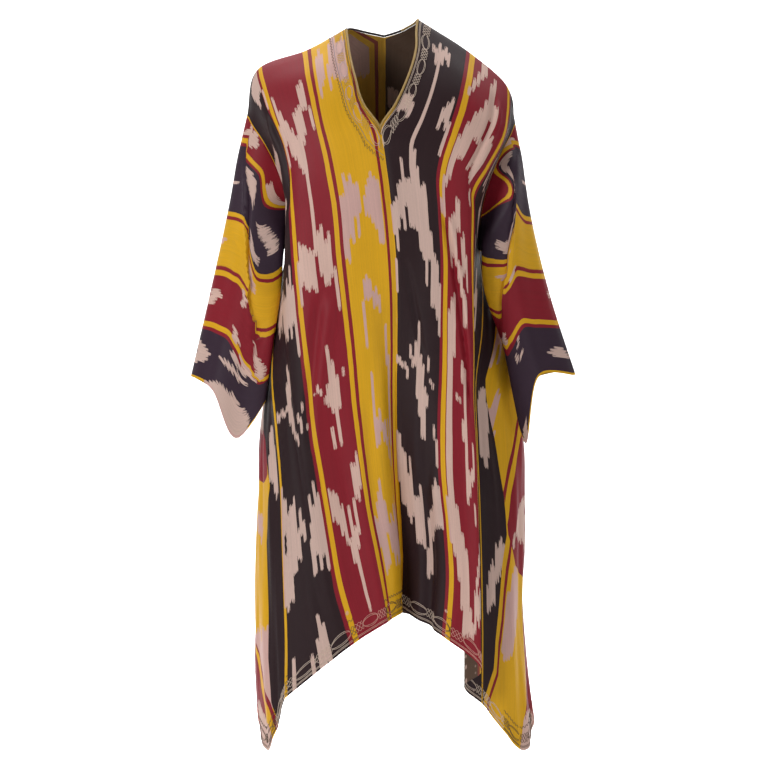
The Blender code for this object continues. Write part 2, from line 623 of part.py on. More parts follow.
def build():
    for thing in list(bpy.data.objects):
        bpy.data.objects.remove(thing)
    collection = bpy.data.collections.new("ikat_kaftan")
    bpy.context.scene.collection.children.link(collection)
    pieces = {}
    sewn = {}
    panels = {}
    for side in ("left", "right"):
        panels[side] = body_panel(side)
    join_centre(panels["left"], panels["right"])
    for side in ("left", "right"):
        sign = -1.0 if side == "left" else 1.0
        panel = panels[side]
        pieces["panel_" + side] = (panel, sign, False)
        sewn["panel_" + side] = ("first", "last")
        wedge = gore(side, panel)
        pieces["gore_front_" + side] = (wedge[:, : GORE_FRONT_COLUMNS + 1], -sign, False)
        pieces["gore_side_" + side] = (wedge[:, GORE_FRONT_COLUMNS:], -sign, False)
        sewn["gore_front_" + side] = ("first", "last", "top")
        sewn["gore_side_" + side] = ("first", "last", "top")
        arm = sleeve(side, panel, wedge)
        pieces["sleeve_upper_" + side] = (arm[: SLEEVE_UPPER_ROWS + 1], sign, True)
        pieces["sleeve_lower_" + side] = (arm[SLEEVE_UPPER_ROWS:], sign, True)
        sewn["sleeve_upper_" + side] = ("top", "bottom")
        sewn["sleeve_lower_" + side] = ("top",)
    normals = shared_normals(pieces)
    for name, (grid, outward, wrap) in pieces.items():
        drawn = inset(grid, sewn[name], SEAM_GAP / 2.0)
        wall(name, drawn, normals[name], outward, collection, wrap)
    neck_binding(panels["left"], panels["right"], normals, collection)


build()
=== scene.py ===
"""Ikat kaftan for a worn, hollow pose: cloth pieces with resist-dyed stripes and sewn embroidery.

Metres, +Z up, the front faces -Y and the wearer's right side is at -X. Every cloth piece is a thin
closed wall on the form of its solid. Each has a UV map in metres: across the loom strip from its
inner selvedge, and along its warp from the shoulder ridge, front positive and back negative.
"""

import math

import bpy
import numpy as np
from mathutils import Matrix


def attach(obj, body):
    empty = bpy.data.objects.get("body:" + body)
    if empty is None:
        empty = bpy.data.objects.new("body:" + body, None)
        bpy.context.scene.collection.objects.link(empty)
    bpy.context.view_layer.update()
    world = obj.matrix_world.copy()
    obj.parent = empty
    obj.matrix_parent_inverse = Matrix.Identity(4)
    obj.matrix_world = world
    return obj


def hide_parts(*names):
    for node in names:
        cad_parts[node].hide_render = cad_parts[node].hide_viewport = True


bl_info = {
    "name": "Ikat kaftan",
    "version": (1, 0, 0),
    "blender": (4, 5, 0),
    "location": "View3D > Sidebar > Kaftan",
    "description": "Makes a worn ikat kaftan: panels, gores, sleeves, binding and embroidery",
    "category": "Object",
}

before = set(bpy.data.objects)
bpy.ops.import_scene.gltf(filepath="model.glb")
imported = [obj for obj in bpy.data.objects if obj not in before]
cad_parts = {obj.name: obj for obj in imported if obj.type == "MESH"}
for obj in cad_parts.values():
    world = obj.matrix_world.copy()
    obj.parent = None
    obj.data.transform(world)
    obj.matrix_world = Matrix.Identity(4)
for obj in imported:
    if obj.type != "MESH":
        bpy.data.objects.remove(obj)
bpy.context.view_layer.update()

# The cut
LOOM_WIDTH = 0.285
LEVEL_OF_V = 0.1886
LEVEL_OF_BACK_NECK = 0.05
LEVEL_OF_UNDERARM = 0.215
SLEEVE_SEAM = 0.374

# Mesh density of the cloth
PANEL_COLUMNS = 72
NECK_ROWS = 40
ARMHOLE_ROWS = 8
SKIRT_ROWS = 168
BACK_NECK_ROWS = 12
BACK_YOKE_ROWS = 36
GORE_FRONT_COLUMNS = 10
GORE_SIDE_COLUMNS = 38
SLEEVE_UPPER_ROWS = 40
SLEEVE_LOWER_ROWS = 66
# Warp lines of a front panel: distance across the cloth from the centre seam
LINES_LEFT = (0.0, 0.102, 0.180, 0.285)
LINES_RIGHT = (0.0, 0.102, 0.180, 0.235, 0.285)
LINES_BACK = (0.0, 0.102, 0.180, 0.285)
# Cloth turned away along the neck edge at the shoulder
NECK_TURN = {"left": 0.022, "right": 0.008}

# Height of each warp line at the shoulder ridge and at the hem
TOP_LEFT = (0.050, 0.0061, -0.0244, -0.1114)
HEM_LEFT = (-0.968, -0.986, -1.023, -1.121)
TOP_RIGHT = (0.050, 0.000, -0.0557, -0.0922, -0.1253)
HEM_RIGHT = (-0.968, -1.018, -1.074, -1.103, -1.133)
HEM_BACK = (-0.975, -1.000, -1.050, -1.130)
# The neck edge stands lower at one shoulder and higher at the other
NECK_RISE = {"left": -0.0075, "right": 0.0085}

# Front panel, wearer's right: a row per level from the ridge (0) to the hem (1).
# level | across: centre, inner, outer, side seam | depth: centre, inner, outer, side seam
FRONT_LEFT = (
    (0.000, -0.069, -0.135, -0.217, -0.240, 0.005, 0.000, 0.000, 0.000),
    (0.020, -0.066, -0.132, -0.213, -0.227, -0.022, -0.035, -0.030, -0.022),
    (0.050, -0.062, -0.128, -0.204, -0.207, -0.048, -0.068, -0.055, -0.036),
    (0.090, -0.053, -0.120, -0.191, -0.187, -0.076, -0.095, -0.075, -0.043),
    (0.140, -0.038, -0.110, -0.173, -0.171, -0.103, -0.117, -0.092, -0.040),
    (0.1886, -0.006, -0.098, -0.163, -0.166, -0.124, -0.127, -0.104, -0.031),
    (0.215, -0.002, -0.093, -0.161, -0.1645, -0.127, -0.130, -0.108, -0.014),
    (0.280, 0.007, -0.082, -0.156, -0.175, -0.132, -0.134, -0.114, -0.028),
    (0.360, 0.016, -0.075, -0.150, -0.189, -0.132, -0.136, -0.122, -0.046),
    (0.450, 0.021, -0.065, -0.141, -0.195, -0.127, -0.138, -0.129, -0.070),
    (0.540, 0.0215, -0.055, -0.131, -0.187, -0.120, -0.139, -0.134, -0.092),
    (0.630, 0.0205, -0.047, -0.122, -0.179, -0.112, -0.140, -0.138, -0.110),
    (0.720, 0.0215, -0.036, -0.107, -0.176, -0.104, -0.142, -0.142, -0.120),
    (0.810, 0.0255, -0.023, -0.092, -0.173, -0.096, -0.145, -0.147, -0.127),
    (0.900, 0.0305, -0.005, -0.076, -0.170, -0.088, -0.148, -0.151, -0.133),
    (1.000, 0.029, 0.012, -0.047, -0.171, -0.080, -0.150, -0.154, -0.138),
)

# Front panel, wearer's left, with one line more behind the side fold.
# level | across: centre, inner, outer, behind fold, side seam | depth: the same five
FRONT_RIGHT = (
    (0.000, 0.062, 0.152, 0.214, 0.224, 0.230, 0.005, 0.000, 0.000, 0.000, 0.000),
    (0.020, 0.059, 0.149, 0.216, 0.222, 0.220, -0.022, -0.032, -0.022, -0.020, -0.018),
    (0.050, 0.058, 0.144, 0.214, 0.215, 0.204, -0.046, -0.065, -0.045, -0.036, -0.030),
    (0.090, 0.046, 0.135, 0.206, 0.198, 0.187, -0.074, -0.095, -0.072, -0.055, -0.040),
    (0.140, 0.023, 0.119, 0.179, 0.177, 0.172, -0.102, -0.117, -0.095, -0.070, -0.038),
    (0.1886, -0.006, 0.103, 0.152, 0.165, 0.166, -0.124, -0.128, -0.110, -0.078, -0.031),
    (0.215, -0.002, 0.098, 0.152, 0.162, 0.166, -0.127, -0.131, -0.114, -0.080, -0.014),
    (0.280, 0.007, 0.100, 0.151, 0.157, 0.172, -0.132, -0.134, -0.121, -0.085, -0.028),
    (0.360, 0.016, 0.104, 0.152, 0.150, 0.171, -0.132, -0.136, -0.128, -0.092, -0.045),
    (0.450, 0.021, 0.103, 0.154, 0.145, 0.160, -0.127, -0.137, -0.134, -0.102, -0.066),
    (0.540, 0.0215, 0.102, 0.154, 0.141, 0.162, -0.120, -0.138, -0.139, -0.109, -0.078),
    (0.630, 0.0205, 0.099, 0.159, 0.139, 0.166, -0.112, -0.139, -0.144, -0.114, -0.087),
    (0.720, 0.0215, 0.100, 0.162, 0.139, 0.169, -0.104, -0.141, -0.148, -0.118, -0.093),
    (0.810, 0.0255, 0.109, 0.165, 0.139, 0.171, -0.096, -0.143, -0.151, -0.121, -0.099),
    (0.900, 0.0305, 0.114, 0.167, 0.138, 0.172, -0.088, -0.144, -0.153, -0.123, -0.104),
    (1.000, 0.029, 0.107, 0.169, 0.1375, 0.171, -0.080, -0.145, -0.154, -0.124, -0.108),
)

# Back panels, the same on both sides.
# level | out from the centre: inner, outer | depth: centre, inner, outer
BACK = (
    (0.000, 0.143, 0.216, 0.005, 0.000, 0.000),
    (0.020, 0.134, 0.212, 0.045, 0.034, 0.026),
    (0.050, 0.126, 0.204, 0.074, 0.058, 0.046),
    (0.090, 0.118, 0.192, 0.082, 0.077, 0.062),
    (0.140, 0.109, 0.178, 0.089, 0.091, 0.076),
    (0.1886, 0.103, 0.168, 0.095, 0.101, 0.084),
    (0.215, 0.100, 0.164, 0.098, 0.104, 0.087),
    (0.280, 0.096, 0.158, 0.104, 0.111, 0.092),
    (0.360, 0.094, 0.158, 0.110, 0.118, 0.097),
    (0.450, 0.093, 0.160, 0.114, 0.125, 0.102),
    (0.540, 0.092, 0.162, 0.117, 0.131, 0.107),
    (0.630, 0.091, 0.163, 0.119, 0.137, 0.113),
    (0.720, 0.090, 0.163, 0.121, 0.143, 0.120),
    (0.810, 0.089, 0.162, 0.123, 0.148, 0.127),
    (0.900, 0.088, 0.160, 0.125, 0.152, 0.133),
    (1.000, 0.087, 0.156, 0.127, 0.155, 0.140),
)
# Back neck edge, from the ridge to the centre: level, share of the half width, depth, height
BACK_NECK = (
    (0.000, 1.00, 0.005, 0.050),
    (0.020, 0.74, 0.044, 0.045),
    (0.035, 0.40, 0.065, 0.038),
    (0.050, 0.00, 0.074, 0.032),
)

# Back armhole and back gore seam. level | out: wearer's right, wearer's left | depth: the same two
BACK_SIDE = (
    (0.000, 0.240, 0.230, 0.000, 0.000),
    (0.020, 0.228, 0.220, 0.018, 0.016),
    (0.050, 0.209, 0.205, 0.032, 0.030),
    (0.090, 0.188, 0.188, 0.040, 0.040),
    (0.140, 0.172, 0.173, 0.038, 0.038),
    (0.1886, 0.166, 0.167, 0.030, 0.030),
    (0.215, 0.1645, 0.166, 0.014, 0.014),
    (0.280, 0.180, 0.180, 0.017, 0.018),
    (0.360, 0.191, 0.200, 0.020, 0.024),
    (0.450, 0.204, 0.220, 0.027, 0.034),
    (0.540, 0.211, 0.233, 0.036, 0.044),
    (0.630, 0.213, 0.235, 0.048, 0.055),
    (0.720, 0.213, 0.236, 0.060, 0.066),
    (0.810, 0.212, 0.235, 0.072, 0.076),
    (0.900, 0.210, 0.238, 0.082, 0.084),
    (1.000, 0.205, 0.242, 0.090, 0.090),
)

# Gores. level | dark seam and side fold, wearer's right: out, depth, out, depth | wearer's left
GORE = (
    (0.215, 0.1645, -0.003, 0.1650, 0.000, 0.166, -0.003, 0.166, 0.000),
    (0.280, 0.1780, -0.012, 0.1810, 0.000, 0.179, -0.012, 0.183, 0.001),
    (0.360, 0.1890, -0.028, 0.1925, -0.003, 0.186, -0.028, 0.205, 0.002),
    (0.450, 0.2010, -0.045, 0.2070, -0.008, 0.178, -0.046, 0.227, 0.000),
    (0.540, 0.2050, -0.062, 0.2155, -0.012, 0.192, -0.056, 0.2425, -0.002),
    (0.630, 0.2050, -0.080, 0.2185, -0.015, 0.208, -0.064, 0.2425, -0.004),
    (0.720, 0.2050, -0.092, 0.2210, -0.018, 0.214, -0.072, 0.2435, -0.006),
    (0.810, 0.2040, -0.100, 0.2235, -0.018, 0.220, -0.076, 0.2405, -0.008),
    (0.900, 0.2020, -0.106, 0.2235, -0.016, 0.228, -0.079, 0.247, -0.008),
    (1.000, 0.1980, -0.110, 0.2175, -0.012, 0.236, -0.080, 0.261, -0.008),
)
GORE_LINES = (0.0, 0.25, 0.60, 1.0)
# Hem height of the dark seam (the side point) and of the side fold
GORE_HEM = {"left": (-1.210, -1.168), "right": (-1.212, -1.1645)}

# Sleeve sections: six places round the sleeve, as angles from its top edge
SLEEVE_ANGLES = (0.0, 60.0, 120.0, 150.0, 180.0, 270.0, 360.0)
# down the sleeve | top, front, low, crease, inner, back: across, depth, height
SLEEVE_LEFT = (
    (0.12, -0.252, 0.000, -0.164, -0.226, -0.055, -0.225, -0.205, -0.062, -0.290,
     -0.174, -0.062, -0.328, -0.181, -0.018, -0.350, -0.214, 0.050, -0.250),
    (0.33, -0.270, 0.000, -0.261, -0.245, -0.064, -0.336, -0.215, -0.070, -0.395,
     -0.1795, -0.062, -0.405, -0.194, -0.018, -0.430, -0.212, 0.055, -0.318),
    (0.67, -0.303, 0.000, -0.415, -0.271, -0.060, -0.470, -0.238, -0.064, -0.553,
     -0.194, -0.066, -0.512, -0.212, -0.012, -0.530, -0.245, 0.048, -0.466),
    (1.00, -0.3375, 0.000, -0.564, -0.299, -0.058, -0.588, -0.250, -0.062, -0.670,
     -0.207, -0.066, -0.610, -0.222, -0.010, -0.615, -0.271, 0.045, -0.600),
)
SLEEVE_RIGHT = (
    (0.12, 0.238, 0.000, -0.167, 0.2245, -0.050, -0.197, 0.209, -0.064, -0.268,
     0.1705, -0.062, -0.328, 0.178, -0.018, -0.356, 0.213, 0.050, -0.255),
    (0.33, 0.254, 0.000, -0.270, 0.230, -0.062, -0.301, 0.211, -0.070, -0.365,
     0.1725, -0.062, -0.398, 0.191, -0.018, -0.425, 0.228, 0.055, -0.330),
    (0.67, 0.287, 0.000, -0.4176, 0.237, -0.064, -0.4315, 0.207, -0.061, -0.478,
     0.206, -0.046, -0.510, 0.222, -0.012, -0.530, 0.262, 0.050, -0.460),
    (1.00, 0.3323, 0.000, -0.562, 0.268, -0.060, -0.567, 0.245, -0.040, -0.680,
     0.228, -0.038, -0.612, 0.240, -0.008, -0.586, 0.300, 0.045, -0.557),
)

# Hanging folds: panel, distance across the cloth, half width, first level, last level, height
FOLDS = (
    ("front left", 0.055, 0.030, 0.30, 1.05, 0.004),
    ("front left", 0.145, 0.034, 0.40, 1.10, -0.006),
    ("front left", 0.215, 0.036, 0.30, 1.10, 0.007),
    ("front right", 0.068, 0.026, 0.45, 1.15, -0.007),
    ("front right", 0.140, 0.030, 0.22, 1.10, -0.005),
    ("back left", 0.060, 0.040, 0.25, 1.15, 0.012),
    ("back left", 0.140, 0.040, 0.30, 1.15, -0.014),
    ("back left", 0.220, 0.040, 0.30, 1.15, 0.012),
    ("back right", 0.070, 0.040, 0.25, 1.15, 0.013),
    ("back right", 0.150, 0.040, 0.30, 1.15, -0.013),
    ("back right", 0.230, 0.040, 0.30, 1.15, 0.010),
)

# Creases pressed into the cloth, listed one by one. panel | half width, height in mm | places: across, down
# from the ridge, in mm
CREASES = (
    ("front right", 9, -8, (98, 290), (112, 350), (124, 400), (140, 480), (155, 560), (164, 660)),
    ("front right", 10, 4, (116, 300), (134, 380), (156, 480), (168, 570)),
    ("front right", 5, -5, (148, 40), (150, 110), (152, 200), (170, 240)),
    ("front right", 6, 4, (158, 60), (160, 150), (164, 220)),
    ("front right", 8, -4, (18, 440), (38, 520), (60, 610)),
    ("front right", 12, -6, (46, 800), (54, 900), (60, 1060)),
    ("front right", 14, 5, (86, 780), (80, 900), (74, 1060)),
    ("front left", 9, -5, (140, 445), (160, 530), (180, 620), (190, 720)),
    ("front left", 10, 4, (124, 470), (146, 560), (164, 650)),
    ("front left", 7, -6, (196, 90), (190, 160), (188, 230), (196, 300)),
    ("front left", 8, 4, (212, 100), (206, 180), (210, 260)),
    ("front left", 16, -4, (70, 640), (84, 800), (100, 1060)),
    ("front left", 16, 4, (40, 560), (36, 760), (30, 1060)),
    ("front left", 12, -5, (232, 420), (236, 600), (226, 800), (214, 1060)),
    ("back left", 12, -5, (180, 60), (196, 140), (206, 260)),
    ("back left", 10, 4, (150, 120), (166, 240), (176, 400)),
    ("back right", 12, -5, (184, 60), (198, 150), (204, 270)),
    ("back right", 10, 4, (148, 130), (160, 250), (168, 420)),
)
# Short puckers along a gathered seam: panel | first, last across | first, last down | count, height
PUCKERS = (
    ("front left", 252, 285, 730, 915, 13, 1.5),
    ("front left", 262, 285, 300, 700, 20, 0.7),
    ("front right", 262, 285, 300, 700, 18, 0.7),
)
# Soft waves all over the cloth. across mm, down mm, phase, height mm
SOFT_WAVES = (
    (17.0, 210.0, 0.4, 0.9),
    (29.0, -330.0, 2.1, 1.3),
    (11.0, 140.0, 4.0, 0.4),
)

# Loom stripes of each strip: the place across where a colour begins, in mm from the inner selvedge
STRIPES = {
    "left": (
        (0, "yellow"), (8, "red"), (14, "yellow"), (94, "red"), (101, "yellow"), (110, "red"),
        (175, "yellow"), (184, "red"), (191, "dark"), (281, "yellow"),
    ),
    "right": (
        (0, "yellow"), (2, "dark"), (93, "red"), (100, "yellow"), (110, "red"), (178, "yellow"),
        (187, "red"), (194, "dark"), (281, "yellow"),
    ),
    "gore": (
        (0, "dark"), (38, "yellow"), (46, "red"), (52, "yellow"), (132, "red"), (139, "yellow"),
        (147, "red"), (212, "yellow"), (220, "red"), (227, "dark"),
    ),
    "sleeve_upper": (
        (0, "red"), (42, "yellow"), (50, "red"), (57, "dark"), (158, "yellow"), (166, "red"),
    ),
    "sleeve_lower": (
        (0, "red"), (5, "yellow"), (90, "red"), (97, "yellow"), (105, "red"), (170, "yellow"),
        (178, "red"), (185, "dark"), (280, "yellow"),
    ),
}

# The dyer's plan of each strip: the warps are bound in 51 bundles, and a bound length stays pale.
# bundle from the inner selvedge: start, end of each bound length, in mm from the shoulder ridge
BOUND = {
    "left": {
        3: (280, 400, 600, 770, 870, 955),
        4: (20, 110, 282, 397, 525, 600, 742, 775, 866, 962),
        5: (20, 130, 288, 390, 742, 778, 864, 965),
        6: (30, 120, 298, 377, 488, 520, 742, 778, 862, 965),
        7: (30, 120, 308, 365, 484, 520, 715, 762, 862, 966),
        8: (0, 110, 318, 357, 482, 516, 712, 748, 885, 966),
        9: (0, 110, 478, 512, 708, 750, 888, 966),
        10: (20, 100, 290, 345, 450, 498, 705, 750, 888, 966),
        11: (60, 115, 287, 385, 448, 482, 600, 745, 838, 936),
        12: (305, 388, 525, 610, 832, 934),
        13: (20, 80, 274, 388, 832, 966),
        14: (18, 112, 272, 388, 850, 970),
        15: (22, 116, 272, 402, 866, 972),
        16: (280, 400, 892, 948),
        20: (84, 134, 392, 475, 740, 815),
        21: (75, 140, 357, 440, 580, 590, 728, 806),
        22: (82, 136, 375, 456, 788, 858),
        23: (126, 186, 342, 457, 600, 655, 805, 877),
        24: (128, 188, 340, 417, 562, 718, 862, 905),
        25: (133, 417, 575, 700, 862, 1060),
        26: (180, 240, 372, 445, 602, 636, 660, 700, 862, 914),
        27: (160, 238, 378, 452, 640, 656, 838, 915),
        28: (143, 218, 370, 453, 622, 634, 803, 879),
        29: (121, 212, 366, 447, 612, 630, 798, 858),
        30: (86, 186, 357, 438, 598, 604, 772, 836),
        31: (95, 180, 352, 438),
        33: (10, 55),
        34: (5, 62, 385, 518, 640, 652, 766, 910),
        35: (5, 62, 388, 500, 632, 648, 764, 905),
        36: (8, 64, 250, 264, 396, 497, 634, 656, 776, 897),
        37: (10, 78, 262, 290, 404, 495, 645, 658, 780, 890),
        38: (12, 78, 168, 232, 255, 284, 410, 492, 655, 672, 799, 893),
        39: (14, 62, 150, 232, 246, 278, 415, 491, 655, 668, 836, 898, 975, 1060),
        40: (15, 40, 141, 232, 238, 268, 412, 488, 615, 660, 968, 1060),
        41: (136, 226, 405, 480, 545, 590, 600, 655, 792, 830, 1000, 1060),
        42: (133, 218, 395, 440, 525, 650, 785, 832),
        43: (131, 214, 224, 246, 384, 444, 525, 600, 770, 835, 1010, 1060),
        44: (130, 212, 380, 456, 592, 602, 750, 862),
        45: (128, 208, 375, 460, 585, 597, 748, 865),
        46: (125, 202, 369, 446, 575, 592, 742, 862),
        47: (122, 198, 362, 430, 572, 585, 750, 910),
        48: (120, 192, 356, 418, 574, 590, 720, 905, 1000, 1060),
        49: (120, 188, 351, 402, 562, 578, 706, 770, 800, 905),
        50: (120, 185, 345, 386, 690, 900),
    },
    "right": {
        0: (362, 415, 455, 515, 622, 638, 753, 843),
        1: (155, 190, 352, 440, 622, 638, 755, 880),
        2: (155, 190, 343, 400, 628, 642, 778, 880),
        3: (155, 190, 318, 378, 626, 640, 782, 897),
        4: (160, 188, 290, 384, 622, 640, 803, 895),
        5: (288, 382, 628, 645, 806, 922),
        6: (25, 40, 283, 374, 600, 615, 838, 926),
        7: (45, 68, 285, 373, 567, 610, 838, 926),
        8: (25, 412, 562, 700, 842, 960),
        9: (40, 65, 230, 412, 590, 698, 930, 985),
        10: (28, 60, 270, 433, 612, 745, 878, 980),
        11: (25, 52, 286, 470, 650, 745, 862, 915),
        12: (316, 468, 625, 640, 660, 685, 858, 910),
        13: (138, 178, 355, 500, 628, 638, 850, 895),
        14: (135, 175, 412, 506, 630, 642, 810, 888),
        15: (120, 190, 420, 525, 708, 735, 795, 885),
        16: (118, 190, 422, 520, 706, 760, 790, 870),
        18: (270, 300),
        19: (70, 90, 215, 292, 815, 882),
        20: (55, 88, 175, 275, 478, 945),
        21: (35, 70, 145, 260, 315, 380, 425, 970),
        22: (0, 50, 120, 215, 315, 390, 440, 532, 795, 990),
        23: (0, 28, 95, 205, 300, 400, 630, 640, 862, 1045),
        24: (92, 178, 285, 345, 390, 425, 625, 635, 900, 1060),
        25: (40, 175, 283, 340, 395, 450, 560, 600, 650, 670, 975, 1030),
        26: (20, 110, 140, 200, 330, 400, 400, 470, 535, 795, 1000, 1030),
        27: (80, 215, 335, 410, 420, 480, 745, 790, 960, 1030),
        28: (145, 225, 340, 405, 745, 775, 930, 1010),
        29: (150, 232, 690, 760, 780, 820, 880, 915, 925, 990),
        30: (205, 235, 875, 915, 925, 985),
        31: (868, 912, 922, 978),
        36: (90, 150, 300, 360, 560, 640),
        37: (80, 150, 290, 370, 540, 650, 820, 870),
        38: (100, 160, 280, 380, 530, 640, 810, 880),
        40: (200, 250, 420, 470, 700, 760, 930, 1010),
        41: (190, 260, 410, 480, 690, 770, 920, 1020),
        42: (190, 250, 400, 480, 690, 770, 910, 1030),
        44: (60, 110, 330, 380, 600, 660, 850, 900),
        45: (50, 120, 320, 390, 590, 670, 840, 910),
        46: (50, 120, 310, 390, 590, 670, 840, 910),
    },
}

# The sleeves' and gores' plans. The sleeves' lengths run from under the arm up to the top of the sleeve
BOUND_SLEEVES = {
    "sleeve_lower_left": {
        0: (64, 192), 1: (62, 176), 2: (60, 166), 3: (62, 157), 4: (64, 148), 5: (66, 139, 225, 250),
        6: (70, 126, 205, 250), 7: (74, 114, 196, 250), 8: (80, 104, 193, 250), 9: (196, 250),
        10: (140, 163, 199, 250), 11: (125, 150, 214, 250), 12: (108, 140, 226, 246), 13: (90, 122),
        14: (70, 98), 15: (100, 140), 16: (78, 128), 17: (52, 90), 18: (70, 104), 19: (36, 60, 104, 132),
        20: (34, 62, 100, 140), 21: (32, 66, 106, 136), 22: (35, 70), 23: (42, 72), 24: (50, 70, 212, 250),
        25: (54, 66, 208, 250), 26: (205, 250), 27: (212, 250), 28: (106, 122), 29: (102, 126),
        30: (100, 128), 31: (104, 124), 41: (230, 250), 42: (226, 250), 43: (86, 112), 44: (84, 118),
        45: (84, 122), 46: (86, 124), 47: (88, 120),
    },
    "sleeve_lower_right": {
        0: (78, 109), 1: (84, 109), 2: (80, 106), 6: (204, 250), 7: (198, 250), 8: (206, 250), 9: (215, 240),
        12: (118, 139), 13: (117, 130), 14: (114, 124), 15: (128, 141), 16: (124, 134), 19: (40, 90),
        20: (34, 96), 21: (44, 84), 26: (240, 250), 27: (238, 250), 33: (112, 144), 34: (104, 150),
        44: (60, 90), 45: (56, 96), 46: (126, 148),
    },
    "sleeve_upper_left": {
        0: (100, 128), 1: (104, 124), 11: (230, 250), 12: (226, 250), 13: (86, 112), 14: (84, 118),
        15: (84, 122), 16: (86, 124), 17: (88, 120), 22: (86, 120), 23: (84, 124), 24: (82, 126),
        25: (84, 126), 26: (34, 60, 86, 122), 27: (36, 64, 90, 114), 28: (38, 68), 29: (42, 72),
        30: (46, 76, 204, 250), 31: (52, 80), 32: (58, 86), 33: (62, 88, 130, 160), 34: (66, 90, 126, 176),
        35: (70, 92, 126, 188), 36: (128, 196), 37: (132, 200), 38: (138, 202), 39: (150, 204),
        40: (166, 200), 45: (60, 116), 46: (72, 122, 214, 250), 47: (80, 118, 198, 240), 48: (196, 236),
        49: (190, 232), 50: (196, 226),
    },
    "sleeve_upper_right": {
        3: (112, 144), 4: (104, 150), 14: (60, 90), 15: (56, 96), 16: (126, 148), 23: (62, 88), 24: (60, 96),
        25: (58, 102), 26: (60, 106), 27: (66, 108), 31: (202, 250), 35: (104, 122), 36: (108, 140),
        37: (116, 158), 38: (124, 172), 39: (132, 184), 40: (142, 190), 41: (156, 192), 45: (188, 226),
        46: (168, 222), 47: (154, 216), 48: (150, 206), 49: (152, 196), 50: (158, 186),
    },
}
STRIPES_SLEEVES = {
    "sleeve_lower": (
        (0, "yellow"), (4, "dark"), (94, "red"), (101, "yellow"), (110, "red"), (175, "yellow"),
        (184, "red"), (191, "yellow"), (271, "red"), (277, "yellow"), (285, "dark"),
    ),
    "sleeve_upper": (
        (0, "red"), (7.35, "yellow"), (16.35, "red"), (23.35, "yellow"), (103.35, "red"), (109.35, "yellow"),
        (117.35, "dark"), (235.35, "red"), (242.35, "yellow"), (251.35, "red"),
    ),
}

# The gores are pieced from slanted offcuts. Each line: down from the underarm, across from the front
# seam, in mm. The offcuts' stripes run along the lines
GORE_CUTS = {
    "left": {
        "dark": ((0, 90), (280, 81), (336, 51), (381, 45), (427, 38), (457, 52), (507, 67), (633, 72),
                 (703, 79), (783, 76), (843, 52), (900, 30)),
        "lower": ((0, 90), (280, 81), (336, 51), (381, 45), (402, 45), (425, 160), (470, 400), (640, 175),
                  (693, 149), (713, 115), (783, 78), (843, 53), (900, 30)),
        "slant": ((0, -60), (402, -60), (425, 120), (470, 400), (640, 175), (693, 149), (713, 115), (783, 78),
                  (843, 53), (900, 30)),
    },
    "right": {
        "dark": ((0, 56), (55, 54), (224, 28), (323, 53), (418, 68), (482, 71), (541, 60), (641, 47),
                 (690, 38), (750, 31), (823, 4), (900, 0)),
        "lower": ((0, 56), (55, 54), (224, 28), (323, 53), (418, 68), (482, 74), (536, 95), (620, 189),
                  (655, 204), (700, 190), (755, 140), (790, 118), (900, 95)),
        "slant": ((0, 75), (100, 30), (220, 0), (318, -41), (418, -82), (500, -105), (900, -60)),
    },
}
STRIPES_GORES = {
    "dark left": ((0, "yellow"), (3, "dark")),
    "dark right": ((0, "dark"),),
    "lower left": ((0, "yellow"),),
    "lower right": ((0, "yellow"), (8, "red"), (14, "yellow"), (150, "red")),
    "slant left": ((0, "red"), (6, "yellow"), (20, "red"), (200, "yellow"), (208, "dark")),
    "slant right": (
        (0, "yellow"), (7, "red"), (13, "yellow"), (94, "red"), (100, "yellow"), (108, "red"),
        (215, "yellow"), (223, "red"), (230, "dark"),
    ),
}
BOUND_GORES = {
    "dark left": {2: (352, 446), 3: (330, 470), 4: (326, 452), 5: (335, 430), 6: (345, 395)},
    "dark right": {
        1: (262, 372), 2: (255, 380, 600, 655), 3: (245, 395, 580, 655), 4: (240, 392, 565, 640),
        5: (240, 370, 550, 630), 6: (250, 300, 540, 615), 7: (525, 600), 8: (515, 580), 9: (500, 565),
        10: (490, 550), 11: (480, 535),
    },
    "lower left": {
        0: (646, 800), 1: (652, 800), 2: (644, 800), 3: (650, 800), 4: (470, 496, 656, 800),
        5: (464, 500, 650, 800), 6: (460, 498, 642, 800), 7: (464, 502, 648, 800), 8: (460, 499, 655, 800),
        9: (462, 503, 660, 800), 10: (460, 498, 668, 800), 11: (466, 500, 664, 800), 12: (464, 496, 672, 800),
        13: (460, 498, 678, 800), 14: (462, 500, 684, 800), 15: (464, 500), 16: (466, 498),
    },
    "lower right": {
        3: (562, 690), 4: (545, 714), 5: (536, 706), 6: (530, 700), 7: (540, 690), 8: (547, 652),
        9: (562, 640), 10: (574, 618), 20: (640, 760), 21: (630, 770),
    },
    "slant left": {
        3: (800, 890), 4: (795, 890), 5: (790, 890), 6: (786, 890), 7: (780, 890), 8: (782, 890),
        9: (786, 890), 15: (246, 318), 16: (240, 330), 17: (236, 338), 18: (240, 334), 19: (244, 340),
        20: (240, 330), 21: (250, 320),
    },
    "slant right": {
        3: (105, 170), 4: (100, 168), 5: (112, 160), 7: (243, 290), 8: (240, 340), 9: (250, 368),
        10: (290, 366), 20: (776, 890), 21: (772, 890), 22: (465, 485, 775, 890), 23: (460, 492, 780, 890),
        24: (455, 500, 785, 890), 25: (450, 505, 790, 890), 26: (447, 512, 796, 890),
        27: (445, 520, 801, 890), 28: (447, 526, 806, 890), 29: (455, 520, 812, 890),
    },
}

# The first strip's warps are counted from this length to the cuff, 30 bundles up from the cuff's strip
UPPER_STRIP_START = 30.0 * LOOM_WIDTH / 51.0

